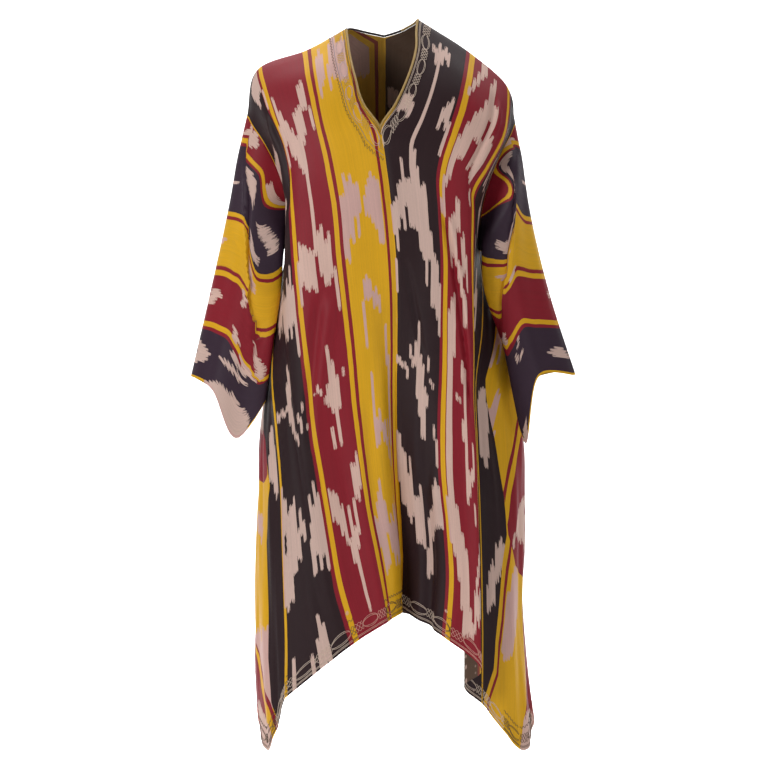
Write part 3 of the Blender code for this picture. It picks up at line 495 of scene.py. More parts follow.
# Where four stripes cross the sleeves. Each row: share of the way round from the top, length to the
# cuff in mm. The outer and inner layers of each sleeve part along the fold: share down, share round.
SLEEVE_MARKS = (0.0, 0.1055, 0.1795, 0.274, 0.4145, 0.6145)
SLEEVE_LINES = {
    "left": {
        "fold": ((0.0, 0.05), (0.093, 0.062), (0.122, 0.079), (0.206, 0.151), (0.262, 0.175), (0.337, 0.242),
                 (0.374, 0.288), (0.431, 0.303), (0.497, 0.350), (0.60, 0.360), (1.0, 0.360)),
        "cuff line": ((0.0, 94), (0.09, 98), (0.151, 97), (0.226, 116), (0.316, 152), (0.34, 138),
                      (0.356, 106), (0.379, 84), (0.429, 41), (0.50, 40), (0.60, 95), (0.90, 100),
                      (1.0, 94)),
        "outer low": ((0.0, 185), (0.043, 188), (0.09, 192), (0.139, 190), (0.186, 193), (0.257, 224),
                      (0.30, 245), (0.36, 250), (0.43, 215), (0.60, 179), (1.0, 185)),
        "outer middle": ((0.0, 284), (0.09, 287), (0.163, 291), (0.30, 310), (0.43, 290), (0.60, 274),
                         (1.0, 284)),
        "outer high": ((0.0, 421), (0.30, 440), (0.60, 414), (1.0, 421)),
        "inner low": ((0.0, 185), (0.30, 205), (0.356, 178), (0.405, 143), (0.429, 126), (0.50, 120),
                      (0.60, 179), (1.0, 185)),
        "inner middle": ((0.0, 284), (0.288, 284), (0.328, 291), (0.356, 271), (0.405, 233), (0.50, 215),
                         (0.60, 274), (1.0, 284)),
        "inner high": ((0.0, 412), (0.126, 392), (0.212, 396), (0.316, 422), (0.50, 405), (0.60, 414),
                       (1.0, 421)),
    },
    "right": {
        "fold": ((0.0, 0.06), (0.093, 0.084), (0.168, 0.290), (0.234, 0.312), (0.309, 0.312), (0.431, 0.327),
                 (0.62, 0.335), (0.70, 0.350), (1.0, 0.350)),
        "cuff line": ((0.0, 96), (0.094, 90), (0.163, 90), (0.235, 137), (0.327, 193), (0.364, 160),
                      (0.45, 100), (0.55, 90), (1.0, 96)),
        "outer low": ((0.0, 181), (0.117, 171), (0.196, 188), (0.312, 279), (0.364, 275), (0.45, 190),
                      (0.60, 175), (1.0, 181)),
        "outer middle": ((0.0, 276), (0.106, 265), (0.20, 310), (0.281, 364), (0.364, 370), (0.45, 300),
                         (0.60, 270), (1.0, 276)),
        "outer high": ((0.0, 412), (0.15, 420), (0.281, 460), (0.45, 440), (0.60, 405), (1.0, 412)),
        "inner low": ((0.0, 181), (0.20, 230), (0.312, 250), (0.364, 205), (0.45, 150), (0.60, 175),
                      (1.0, 181)),
        "inner middle": ((0.0, 276), (0.20, 320), (0.312, 328), (0.364, 305), (0.387, 277), (0.45, 240),
                         (0.60, 270), (1.0, 276)),
        "inner high": ((0.0, 412), (0.129, 404), (0.184, 412), (0.260, 432), (0.364, 440), (0.60, 405),
                       (1.0, 412)),
    },
}
def smooth_step(value):
    value = np.clip(value, 0.0, 1.0)
    return value * value * (3.0 - 2.0 * value)


def through(knots, values, at):
    """A smooth curve through the values at uneven knots, read at the places asked for."""
    knots = np.asarray(knots, float)
    values = np.asarray(values, float)
    at = np.atleast_1d(np.asarray(at, float))
    steps = np.diff(knots)
    shape = (-1,) + (1,) * (values.ndim - 1)
    slopes = np.diff(values, axis=0) / steps.reshape(shape)
    tangents = np.empty_like(values)
    tangents[0] = slopes[0]
    tangents[-1] = slopes[-1]
    before = steps[:-1].reshape(shape)
    after = steps[1:].reshape(shape)
    tangents[1:-1] = (slopes[:-1] * after + slopes[1:] * before) / (before + after)
    index = np.clip(np.searchsorted(knots, at, side="right") - 1, 0, len(knots) - 2)
    span = steps[index].reshape(shape)
    part = ((at - knots[index]) / steps[index]).reshape(shape)
    start = values[index]
    end = values[index + 1]
    return (
        (2 * part**3 - 3 * part**2 + 1) * start
        + (part**3 - 2 * part**2 + part) * span * tangents[index]
        + (3 * part**2 - 2 * part**3) * end
        + (part**3 - part**2) * span * tangents[index + 1]
    )


def front_levels():
    neck = (np.linspace(0.0, np.sqrt(LEVEL_OF_V), NECK_ROWS + 1)) ** 2
    arm = np.linspace(LEVEL_OF_V, LEVEL_OF_UNDERARM, ARMHOLE_ROWS + 1)
    skirt = np.linspace(LEVEL_OF_UNDERARM, 1.0, SKIRT_ROWS + 1)
    return np.concatenate((neck, arm[1:], skirt[1:]))


def back_levels():
    neck = (np.linspace(0.0, np.sqrt(LEVEL_OF_BACK_NECK), BACK_NECK_ROWS + 1)) ** 2
    first = np.sqrt(LEVEL_OF_BACK_NECK)
    yoke = (np.linspace(first, np.sqrt(LEVEL_OF_UNDERARM), BACK_YOKE_ROWS + 1)) ** 2
    skirt = np.linspace(LEVEL_OF_UNDERARM, 1.0, SKIRT_ROWS + 1)
    return np.concatenate((neck, yoke[1:], skirt[1:]))


def turned_away(side, levels, end):
    """How much of the cloth is turned away at the inner edge on each level."""
    left = np.clip(1.0 - levels / end, 0.0, 1.0)
    return NECK_TURN[side] * left


def across(lines, turn, nets):
    """Points of a panel between its warp lines, with the distance across the cloth."""
    share = np.linspace(0.0, 1.0, PANEL_COLUMNS + 1)
    grid = []
    widths = []
    for row, inner in enumerate(turn):
        knots = np.array(lines)
        knots[0] = inner
        places = inner + (LOOM_WIDTH - inner) * share
        grid.append(through(knots, nets[row], places))
        widths.append(places)
    return np.array(grid), np.array(widths)


def front_panel(side):
    levels = front_levels()
    table = np.array(FRONT_LEFT if side == "left" else FRONT_RIGHT)
    lines = LINES_LEFT if side == "left" else LINES_RIGHT
    top = np.array(TOP_LEFT if side == "left" else TOP_RIGHT)
    hem = np.array(HEM_LEFT if side == "left" else HEM_RIGHT)
    count = len(lines)
    read = through(np.sqrt(table[:, 0]), table[:, 1:], np.sqrt(levels))
    net = np.empty((len(levels), count, 3))
    net[:, :, 0] = read[:, :count]
    net[:, :, 1] = read[:, count:]
    net[:, :, 2] = top + (hem - top) * levels[:, None]
    near = np.clip(1.0 - levels / LEVEL_OF_V, 0.0, 1.0) ** 2
    net[:, 0, 2] += NECK_RISE[side] * near
    grid, widths = across(lines, turned_away(side, levels, LEVEL_OF_V), net)
    return grid, widths, levels


def back_panel(side, ridge):
    levels = back_levels()
    sign = -1.0 if side == "left" else 1.0
    table = np.array(BACK)
    sides = np.array(BACK_SIDE)
    roots = np.sqrt(levels)
    read = through(np.sqrt(table[:, 0]), table[:, 1:], roots)
    seam = through(np.sqrt(sides[:, 0]), sides[:, 1:], roots)
    neck = np.array(BACK_NECK)
    edge = through(np.sqrt(neck[:, 0]), neck[:, 1:], np.minimum(roots, np.sqrt(LEVEL_OF_BACK_NECK)))
    tops = TOP_LEFT if side == "left" else tuple(TOP_RIGHT[i] for i in (0, 1, 2, 4))
    top = np.array(tops)
    hem = np.array(HEM_BACK)
    column = 0 if side == "left" else 1
    net = np.empty((len(levels), 4, 3))
    half = abs(ridge[0, 0])
    near = np.clip(1.0 - levels / LEVEL_OF_UNDERARM, 0.0, 1.0) ** 2
    net[:, 0, 0] = sign * edge[:, 0] * half
    below = levels >= LEVEL_OF_BACK_NECK
    net[:, 0, 1] = np.where(below, read[:, 2], edge[:, 1])
    fall = (levels - LEVEL_OF_BACK_NECK) / (1.0 - LEVEL_OF_BACK_NECK)
    start = BACK_NECK[-1][3]
    net[:, 0, 2] = np.where(below, start + (hem[0] - start) * fall, edge[:, 2])
    rise = NECK_RISE[side] * np.clip(1.0 - levels / LEVEL_OF_BACK_NECK, 0.0, 1.0) ** 2
    net[:, 0, 2] += rise
    for line, place in ((1, 0), (2, 1)):
        at_ridge = through(ridge_knots(side), ridge, [LINES_BACK[line]])[0]
        shift = at_ridge[0] - sign * table[0, 1 + place]
        net[:, line, 0] = sign * read[:, place] + shift * near
        net[:, line, 1] = read[:, 2 + line]
        net[:, line, 2] = top[line] + (hem[line] - top[line]) * levels
    net[:, 3, 0] = sign * seam[:, column]
    net[:, 3, 1] = seam[:, 2 + column]
    net[:, 3, 2] = top[3] + (hem[3] - top[3]) * levels
    turn = turned_away(side, levels, LEVEL_OF_BACK_NECK)
    grid, widths = across(LINES_BACK, turn, net)
    return grid, widths, levels


def ridge_knots(side):
    turn = NECK_TURN[side]
    return turn + (LOOM_WIDTH - turn) * np.linspace(0.0, 1.0, PANEL_COLUMNS + 1)


def grid_normals(grid, wrap=False):
    """Normals of a grid of points, facing away from the hollow of the garment."""
    down = np.gradient(grid, axis=0)
    if wrap:
        over = (np.roll(grid, -1, axis=1) - np.roll(grid, 1, axis=1)) / 2.0
    else:
        over = np.gradient(grid, axis=1)
    normals = np.cross(over, down)
    length = np.linalg.norm(normals, axis=2, keepdims=True)
    return normals / np.maximum(length, 1e-12)


def fold_panel(grid, widths, levels, name, outward):
    """Moves the cloth out and in along its hanging folds."""
    normals = grid_normals(grid) * outward
    moved = np.zeros(grid.shape[:2])
    for panel, place, half, first, last, height in FOLDS:
        if panel != name:
            continue
        over = np.clip(1.0 - np.abs(widths - place) / half, 0.0, 1.0)
        bump = smooth_step(over)
        run = smooth_step((levels - first) / (last - first) * 1.6)[:, None]
        moved += height * bump * run
    return grid + normals * moved[:, :, None]


def gore(side, panel):
    """The side gore between the front seam and the back seam, from the underarm to the hem."""
    sign = -1.0 if side == "left" else 1.0
    front_edge = panel[: SKIRT_ROWS + 1, -1][::-1]
    back_edge = panel[-(SKIRT_ROWS + 1):, -1]
    levels = np.linspace(LEVEL_OF_UNDERARM, 1.0, SKIRT_ROWS + 1)
    table = np.array(GORE)
    read = through(table[:, 0], table[:, 1:], levels)
    first = 0 if side == "left" else 4
    fall = ((levels - LEVEL_OF_UNDERARM) / (1.0 - LEVEL_OF_UNDERARM))[:, None]
    lines = []
    for place in (0, 1):
        share = (GORE_LINES[1 + place]) * np.ones_like(fall)
        start = front_edge[0] + (back_edge[0] - front_edge[0]) * share
        line = np.empty((len(levels), 3))
        line[:, 0] = sign * read[:, first + 2 * place]
        line[:, 1] = read[:, first + 2 * place + 1]
        line[:, 2] = start[:, 2] + (GORE_HEM[side][place] - start[:, 2]) * fall[:, 0]
        blend = smooth_step(fall * 8.0)
        lines.append(start * (1.0 - blend) + line * blend)
    net = np.stack((front_edge, lines[0], lines[1], back_edge), axis=1)
    first_part = np.linspace(0.0, GORE_LINES[1], GORE_FRONT_COLUMNS + 1)
    second_part = np.linspace(GORE_LINES[1], 1.0, GORE_SIDE_COLUMNS + 1)
    places = np.concatenate((first_part, second_part[1:]))
    return np.array([through(GORE_LINES, row, places) for row in net])


def armhole(panel, wedge):
    """The armhole as a ring: from the ridge down the front, under the arm and up the back."""
    ridge = SKIRT_ROWS + ARMHOLE_ROWS + NECK_ROWS
    front = panel[SKIRT_ROWS: ridge + 1, -1][::-1]
    back = panel[ridge: ridge + BACK_NECK_ROWS + BACK_YOKE_ROWS + 1, -1][::-1]
    return np.concatenate((front, wedge[0, 1:-1], back[:-1]))


def sleeve(side, panel, wedge):
    """The sleeve: rings from the armhole to the cuff."""
    ring = armhole(panel, wedge)
    table = SLEEVE_LEFT if side == "left" else SLEEVE_RIGHT
    under = ARMHOLE_ROWS + NECK_ROWS
    lengths = np.linalg.norm(np.roll(ring, -1, axis=0) - ring, axis=1)
    run = np.concatenate(([0.0], np.cumsum(lengths)))
    middle = (run[under] + run[under + GORE_FRONT_COLUMNS + GORE_SIDE_COLUMNS]) / 2.0
    angles = np.where(
        run[:-1] <= middle,
        np.pi * run[:-1] / middle,
        np.pi + np.pi * (run[:-1] - middle) / (run[-1] - middle),
    )
    knots = [0.0]
    rings = [ring]
    for row in table:
        places = np.array(row[1:]).reshape(6, 3)
        closed = np.concatenate((places[-1:], places, places[:2]))
        around = np.radians((SLEEVE_ANGLES[5] - 360.0,) + SLEEVE_ANGLES + (360.0 + SLEEVE_ANGLES[1],))
        knots.append(row[0])
        rings.append(through(around, closed, angles))
    upper = np.linspace(0.0, SLEEVE_SEAM, SLEEVE_UPPER_ROWS + 1)
    lower = np.linspace(SLEEVE_SEAM, 1.0, SLEEVE_LOWER_ROWS + 1)
    return through(knots, np.array(rings), np.concatenate((upper, lower[1:])))


def join_centre(left, right):
    """Gives both panels the same line along the centre seams."""
    front = SKIRT_ROWS + ARMHOLE_ROWS + 1
    back = len(right) - SKIRT_ROWS - BACK_YOKE_ROWS - 1
    right[:front, 0] = left[:front, 0]
    right[back:, 0] = left[back:, 0]


def key_of(point):
    return tuple(np.round(point, 6) + 0.0)


def shared_normals(pieces):
    """Normals that neighbouring pieces agree on along their seams."""
    total = {}
    own = {}
    for name, piece in pieces.items():
        normals = grid_normals(piece["grid"], piece["wrap"]) * piece["outward"]
        own[name] = normals
        group = "sleeve" if name.startswith("sleeve") else "body"
        edge = np.zeros(normals.shape[:2], bool)
        edge[0] = edge[-1] = True
        if not piece["wrap"]:
            edge[:, 0] = edge[:, -1] = True
        for row, column in zip(*np.nonzero(edge)):
            met = total.setdefault(key_of(piece["grid"][row, column]), {})
            met[group] = met.get(group, np.zeros(3)) + normals[row, column]
        piece["edge"] = edge
    for name, piece in pieces.items():
        normals = own[name]
        for row, column in zip(*np.nonzero(piece["edge"])):
            met = total[key_of(piece["grid"][row, column])].values()
            single = [one / max(np.linalg.norm(one), 1e-9) for one in met]
            mean = sum(single)
            length = np.linalg.norm(mean)
            if length > 0.15:
                mean = mean / length
                spread = max(0.55, float(np.dot(mean, single[0])))
                normals[row, column] = mean / spread
        piece["normals"] = normals


def running_length(grid):
    """The mean length of cloth from the first row of a grid to each of its rows."""
    steps = np.linalg.norm(np.diff(grid, axis=0), axis=2).mean(axis=1)
    return np.concatenate(([0.0], np.cumsum(steps)))


def near_line(u, v, places):
    """Distance of each place on the cloth from a line, and how far along the line it is."""
    points = np.array(places, float)
    best = np.full(u.shape, 1e9)
    along = np.zeros(u.shape)
    lengths = np.linalg.norm(np.diff(points, axis=0), axis=1)
    total = lengths.sum()
    run = 0.0
    for start, end, length in zip(points[:-1], points[1:], lengths):
        step = (end - start) / length
        part = np.clip((u - start[0]) * step[0] + (v - start[1]) * step[1], 0.0, length)
        gap = np.hypot(u - start[0] - step[0] * part, v - start[1] - step[1] * part)
        closer = gap < best
        best = np.where(closer, gap, best)
        along = np.where(closer, (run + part) / total, along)
        run += length
    return best, along


def press_creases(grid, u, v, name, outward):
    """Moves the cloth along its normals at the creases, puckers and soft waves of one panel."""
    normals = grid_normals(grid) * outward
    across_mm = u * 1000.0
    down_mm = v * 1000.0
    moved = np.zeros(grid.shape[:2])
    for panel, half, height, *places in CREASES:
        if panel != name:
            continue
        gap, along = near_line(across_mm, down_mm, places)
        ends = smooth_step(np.minimum(along, 1.0 - along) * 5.0)
        ends = np.where(np.array(places)[-1, 1] > 1040, smooth_step(along * 5.0), ends)
        moved += height * smooth_step(1.0 - gap / (half * 1.6)) * ends
    for panel, first, last, top, bottom, count, height in PUCKERS:
        if panel != name:
            continue
        side = smooth_step((across_mm - first) / (last - first) * 1.4)
        inside = smooth_step(np.minimum(down_mm - top, bottom - down_mm) / 30.0)
        beat = np.sin((down_mm - top + 0.6 * across_mm) / (bottom - top) * count * 2.0 * np.pi)
        moved += height * side * inside * beat
    for scale_u, scale_v, phase, height in SOFT_WAVES:
        fade = smooth_step((down_mm - 60.0) / 300.0)
        moved += height * np.sin(across_mm / scale_u + phase + down_mm / scale_v) * fade
    edge = smooth_step(np.minimum(across_mm, LOOM_WIDTH * 1000.0 - across_mm) / 12.0)
    return grid + normals * (moved * edge / 1000.0)[:, :, None]


def body_strip(side):
    """The strip of cloth from the front hem over the shoulder to the back hem, with its map."""
    outward = -1.0 if side == "left" else 1.0
    front, widths, levels = front_panel(side)
    ridge = front[0].copy()
    down = running_length(front)
    front = fold_panel(front, widths, levels, "front " + side, -outward)
    spread = np.broadcast_to(down[:, None], widths.shape)
    front = press_creases(front, widths, spread, "front " + side, -outward)
    back, back_widths, back_level = back_panel(side, ridge)
    back_down = running_length(back)
    back = fold_panel(back, back_widths, back_level, "back " + side, outward)
    spread = np.broadcast_to(back_down[:, None], back_widths.shape)
    back = press_creases(back, back_widths, spread, "back " + side, outward)
    back[0] = front[0]
    grid = np.concatenate((front[::-1], back[1:]))
    u = np.concatenate((widths[::-1], back_widths[1:]))
    v = np.concatenate((down[::-1], -back_down[1:]))
    return grid, u, np.broadcast_to(v[:, None], u.shape)


def cloth_object(name, piece, materials):
    """A closed wall of cloth on both sides of a grid of points, with its map in metres."""
    grid, normals, wrap = piece["grid"], piece["normals"], piece["wrap"]
    rows, columns = grid.shape[:2]
    half = rows * columns
    thickness = bpy.context.scene.kaftan_cloth.thickness
    outer = grid + normals * thickness / 2.0
    inner = grid - normals * thickness / 2.0
    points = np.concatenate((outer.reshape(-1, 3), inner.reshape(-1, 3)))
    spans = columns if wrap else columns - 1
    row, column = np.meshgrid(np.arange(rows - 1), np.arange(spans), indexing="ij")
    following = (column + 1) % columns
    corners = np.stack(
        (row * columns + column, (row + 1) * columns + column,
         (row + 1) * columns + following, row * columns + following), axis=-1
    ).reshape(-1, 4)
    u, v = piece["u"], piece["v"]
    maps = np.stack((u, v), axis=-1)
    over = column + 1
    corner_maps = np.stack(
        (maps[row, column], maps[row + 1, column], maps[row + 1, over], maps[row, over]), axis=-2
    ).reshape(-1, 4, 2)
    flip = piece["outward"] > 0
    faces = [corners[:, ::-1] if flip else corners]
    face_maps = [corner_maps[:, ::-1] if flip else corner_maps]
    back_order = faces[0][:, ::-1] + half
    faces.append(back_order)
    face_maps.append(face_maps[0][:, ::-1])
    rim = [(0, np.arange(spans), True), (rows - 1, np.arange(spans), False)]
    edges = []
    for line, places, forward in rim:
        start = line * columns + places
        end = line * columns + (places + 1) % columns
        one, two = maps[line, places], maps[line, places + 1]
        edges.append((start, end, one, two) if forward else (end, start, two, one))
    if not wrap:
        down = np.arange(rows - 1)
        for line, forward in ((0, False), (columns - 1, True)):
            start, end = down * columns + line, (down + 1) * columns + line
            one, two = maps[down, line], maps[down + 1, line]
            edges.append((start, end, one, two) if forward else (end, start, two, one))
    for start, end, one, two in edges:
        quad = np.stack((start, end, end + half, start + half), axis=-1)
        quad_map = np.stack((one, two, two, one), axis=-2)
        faces.append(quad[:, ::-1] if flip else quad)
        face_maps.append(quad_map[:, ::-1] if flip else quad_map)
    count = [len(part) for part in faces]
    every = np.concatenate(faces)
    mesh = bpy.data.meshes.new(name)
    mesh.from_pydata(points.tolist(), [], every.tolist())
    layer = mesh.uv_layers.new(name="cloth")
    layer.data.foreach_set("uv", np.concatenate(face_maps).reshape(-1).astype(np.float32))
    slots = np.zeros(len(every), np.int32)
    slots[count[0]: count[0] + count[1]] = 1
    mesh.polygons.foreach_set("material_index", slots)
    mesh.polygons.foreach_set("use_smooth", np.ones(len(every), bool))
    mesh.set_sharp_from_angle(angle=1.2)
    for material in materials:
        mesh.materials.append(material)
    mesh.update()
    made = bpy.data.objects.new(name, mesh)
    bpy.context.scene.collection.objects.link(made)
    return made
def node(tree, kind, **settings):
    made = tree.nodes.new("ShaderNode" + kind)
    for name, value in settings.items():
        setattr(made, name, value)
    return made


def feed(tree, socket, value):
    """Links a socket to another, or gives it a plain value."""
    if isinstance(value, bpy.types.NodeSocket):
        tree.links.new(value, socket)
    elif value is not None:
        socket.default_value = value


def sum_of(tree, operation, first, second=None, third=None, clamp=False):
    made = node(tree, "Math", operation=operation, use_clamp=clamp)
    for index, value in enumerate((first, second, third)):
        feed(tree, made.inputs[index], value)
    return made.outputs[0]


def mixed(tree, share, first, second, blend="MIX"):
    made = node(tree, "Mix", data_type="RGBA", blend_type=blend)
    feed(tree, made.inputs[0], share)
    feed(tree, made.inputs[6], first)
    feed(tree, made.inputs[7], second)
    return made.outputs[2]


def group_tree(name, inputs, outputs):
    tree = bpy.data.node_groups.new(name, "ShaderNodeTree")
    for label, kind, value in inputs:
        socket = tree.interface.new_socket(name=label, in_out="INPUT", socket_type="NodeSocket" + kind)
        if value is not None:
            socket.default_value = value
    for label, kind in outputs:
        tree.interface.new_socket(name=label, in_out="OUTPUT", socket_type="NodeSocket" + kind)
    return tree, tree.nodes.new("NodeGroupInput"), tree.nodes.new("NodeGroupOutput")


CLOTH_IN = (("Cloth", "Vector", None),)
DYES_OUT = (("Colour", "Color"), ("Pale", "Float"))


def use_group(tree, name, **inputs):
    made = node(tree, "Group", node_tree=bpy.data.node_groups[name])
    for label, value in inputs.items():
        feed(tree, made.inputs[label.replace("_", " ")], value)
    return made.outputs


def thread_curve(tree, place, heights):
    """Reads one value per warp bundle."""
    made = node(tree, "FloatCurve")
    curve = made.mapping.curves[0]
    points = [((5 * index + 2) / 255.0, value) for index, value in enumerate(heights)]
    curve.points[0].location = points[0]
    curve.points[-1].location = points[-1]
    for place_x, value in points[1:-1]:
        curve.points.new(place_x, value)
    for point in curve.points:
        point.handle_type = "VECTOR"
    made.mapping.update()
    feed(tree, made.inputs["Value"], place)
    return made.outputs[0]


def stripe_ramp(tree, place, entries, width, colours):
    made = node(tree, "ValToRGB")
    ramp = made.color_ramp
    ramp.interpolation = "CONSTANT"
    while len(ramp.elements) > 1:
        ramp.elements.remove(ramp.elements[-1])
    ramp.elements[0].position = 0.0
    ramp.elements[0].color = (*colours[entries[0][1]], 1.0)
    for start, colour in entries[1:]:
        element = ramp.elements.new(start / width)
        element.color = (*colours[colour], 1.0)
    feed(tree, made.inputs[0], place)
    return made.outputs[0]


def dye_group(name, stripes, bound, width, length):
    """The dyed pattern of one loom strip: stripes across, and pale lengths where it was bound.

    Takes the cloth's map in metres and gives the colour and a mask of the pale lengths.
    """
    settings = bpy.context.scene.kaftan_dyes
    plain = {key: tuple(getattr(settings, key)) for key in ("red", "dark", "yellow")}
    if "sleeve" in name:
        plain["dark"] = tuple(settings.dark_on_sleeves)
    pale = {
        "red": tuple(settings.pale),
        "dark": tuple(settings.pale_on_dark),
        "yellow": tuple(settings.lilac),
    }
    tree, given, taken = group_tree(name, CLOTH_IN, DYES_OUT)
    parts = node(tree, "SeparateXYZ")
    feed(tree, parts.inputs[0], given.outputs[0])
    u, v = parts.outputs[0], parts.outputs[1]
    down = sum_of(tree, "ABSOLUTE", v)
    strands = node(tree, "CombineXYZ")
    feed(tree, strands.inputs[0], sum_of(tree, "FLOOR", sum_of(tree, "MULTIPLY", u, 1400.0)))
    each = node(tree, "TexWhiteNoise", noise_dimensions="3D")
    feed(tree, each.inputs["Vector"], strands.outputs[0])
    strand = each.outputs["Value"]
    drift_place = node(tree, "CombineXYZ")
    feed(tree, drift_place.inputs[0], sum_of(tree, "MULTIPLY", u, 60.0))
    feed(tree, drift_place.inputs[1], sum_of(tree, "MULTIPLY", v, 26.0))
    drift = node(tree, "TexNoise", noise_dimensions="3D")
    feed(tree, drift.inputs["Vector"], drift_place.outputs[0])
    drift.inputs["Scale"].default_value = 1.0
    drift.inputs["Detail"].default_value = 1.0
    wander = sum_of(tree, "SUBTRACT", drift.outputs[0], 0.5)
    across = sum_of(tree, "MULTIPLY_ADD", wander, 0.0014, u)
    ragged = sum_of(tree, "MULTIPLY_ADD", sum_of(tree, "SUBTRACT", strand, 0.5), 0.0010, across)
    share = sum_of(tree, "DIVIDE", ragged, width / 1000.0)
    colour = stripe_ramp(tree, share, stripes, width, plain)
    pale_colour = stripe_ramp(tree, share, stripes, width, pale)
    bundles = sum_of(tree, "DIVIDE", across, LOOM_WIDTH / 51.0)
    index = sum_of(tree, "FLOOR", bundles)
    place = sum_of(tree, "MULTIPLY_ADD", index, 5.0 / 255.0, 2.0 / 255.0)
    inside = sum_of(tree, "SUBTRACT", sum_of(tree, "FRACT", bundles), 0.5)
    tip = sum_of(tree, "MULTIPLY", sum_of(tree, "MULTIPLY", inside, inside), 0.006)
    loose = sum_of(tree, "MULTIPLY", sum_of(tree, "POWER", strand, 4.0), 0.009)
    inward = sum_of(tree, "ADD", sum_of(tree, "ADD", tip, loose), -0.0015)
    mask = None
    layers = max((len(lengths) // 2 for lengths in bound.values()), default=0)
    for layer in range(layers):
        starts = []
        ends = []
        for bundle in range(51):
            lengths = bound.get(bundle, ())
            held = len(lengths) >= 2 * layer + 2
            starts.append(lengths[2 * layer] / 1000.0 / length if held else 1.0)
            ends.append(lengths[2 * layer + 1] / 1000.0 / length if held else 1.0)
        start = sum_of(tree, "MULTIPLY", thread_curve(tree, place, starts), length)
        end = sum_of(tree, "MULTIPLY", thread_curve(tree, place, ends), length)
        after = sum_of(tree, "SUBTRACT", sum_of(tree, "SUBTRACT", down, start), inward)
        before = sum_of(tree, "SUBTRACT", sum_of(tree, "SUBTRACT", end, down), inward)
        one = sum_of(tree, "MULTIPLY", after, 420.0, clamp=True)
        other = sum_of(tree, "MULTIPLY", before, 420.0, clamp=True)
        both = sum_of(tree, "MULTIPLY", one, other)
        mask = both if mask is None else sum_of(tree, "MAXIMUM", mask, both)
    if mask is not None:
        colour = mixed(tree, mask, colour, pale_colour)
    feed(tree, taken.inputs[0], colour)
    feed(tree, taken.inputs[1], mask)
    return tree


def finish_group():
    """Silk warp over a cotton weft: fine ribs, uneven threads, streaks and slight soiling."""
    tree, given, taken = group_tree(
        "woven finish",
        (("Cloth", "Vector", None), ("Colour", "Color", (1.0, 1.0, 1.0, 1.0)), ("Wear", "Float", 0.5)),
        (("Colour", "Color"), ("Roughness", "Float"), ("Normal", "Vector")),
    )
    parts = node(tree, "SeparateXYZ")
    feed(tree, parts.inputs[0], given.outputs["Cloth"])
    u, v = parts.outputs[0], parts.outputs[1]

    def noise_at(scale_u, scale_v, detail, offset=0.0):
        place = node(tree, "CombineXYZ")
        feed(tree, place.inputs[0], sum_of(tree, "MULTIPLY", u, scale_u))
        feed(tree, place.inputs[1], sum_of(tree, "MULTIPLY", v, scale_v))
        place.inputs[2].default_value = offset
        made = node(tree, "TexNoise", noise_dimensions="3D")
        feed(tree, made.inputs["Vector"], place.outputs[0])
        made.inputs["Scale"].default_value = 1.0
        made.inputs["Detail"].default_value = detail
        return made.outputs[0]

    streak = noise_at(520.0, 7.0, 3.0)
    cloud = noise_at(9.0, 7.0, 4.0, 3.7)
    fleck = noise_at(1300.0, 260.0, 1.0, 9.1)
    ribs = sum_of(tree, "SINE", sum_of(tree, "MULTIPLY_ADD", noise_at(6.0, 60.0, 2.0, 5.0), 14.0,
                                       sum_of(tree, "MULTIPLY", v, 2.0 * math.pi / 0.0011)))
    level = sum_of(tree, "MULTIPLY_ADD", sum_of(tree, "SUBTRACT", streak, 0.5), 0.34, 1.0)
    level = sum_of(tree, "MULTIPLY_ADD", sum_of(tree, "SUBTRACT", cloud, 0.5), 0.22, level)
    level = sum_of(tree, "MULTIPLY_ADD", sum_of(tree, "SUBTRACT", fleck, 0.5), 0.16, level)
    # The ribs also lighten the colour on their crests and darken it between them: a faint painted shade of
    # the ribs.
    level = sum_of(tree, "MULTIPLY_ADD", ribs, 0.025, level)
    grey = node(tree, "CombineXYZ")
    for index in range(3):
        feed(tree, grey.inputs[index], level)
    shaded = mixed(tree, 1.0, given.outputs["Colour"], grey.outputs[0], "MULTIPLY")
    soil = sum_of(tree, "MULTIPLY_ADD", cloud, 4.0, -2.45, clamp=True)
    soil = sum_of(tree, "MULTIPLY", soil, sum_of(tree, "MULTIPLY", given.outputs["Wear"], 0.3))
    feed(tree, taken.inputs["Colour"], mixed(tree, soil, shaded, (0.16, 0.10, 0.06, 1.0)))
    rough = sum_of(tree, "MULTIPLY_ADD", streak, 0.22, 0.34)
    feed(tree, taken.inputs["Roughness"], sum_of(tree, "MULTIPLY_ADD", fleck, 0.10, rough))
    bump = node(tree, "Bump")
    bump.inputs["Strength"].default_value = 0.35
    bump.inputs["Distance"].default_value = 0.00035
    height = sum_of(tree, "MULTIPLY_ADD", streak, 0.8, sum_of(tree, "MULTIPLY", ribs, 0.18))
    feed(tree, bump.inputs["Height"], sum_of(tree, "MULTIPLY_ADD", fleck, 0.3, height))
    feed(tree, taken.inputs["Normal"], bump.outputs[0])


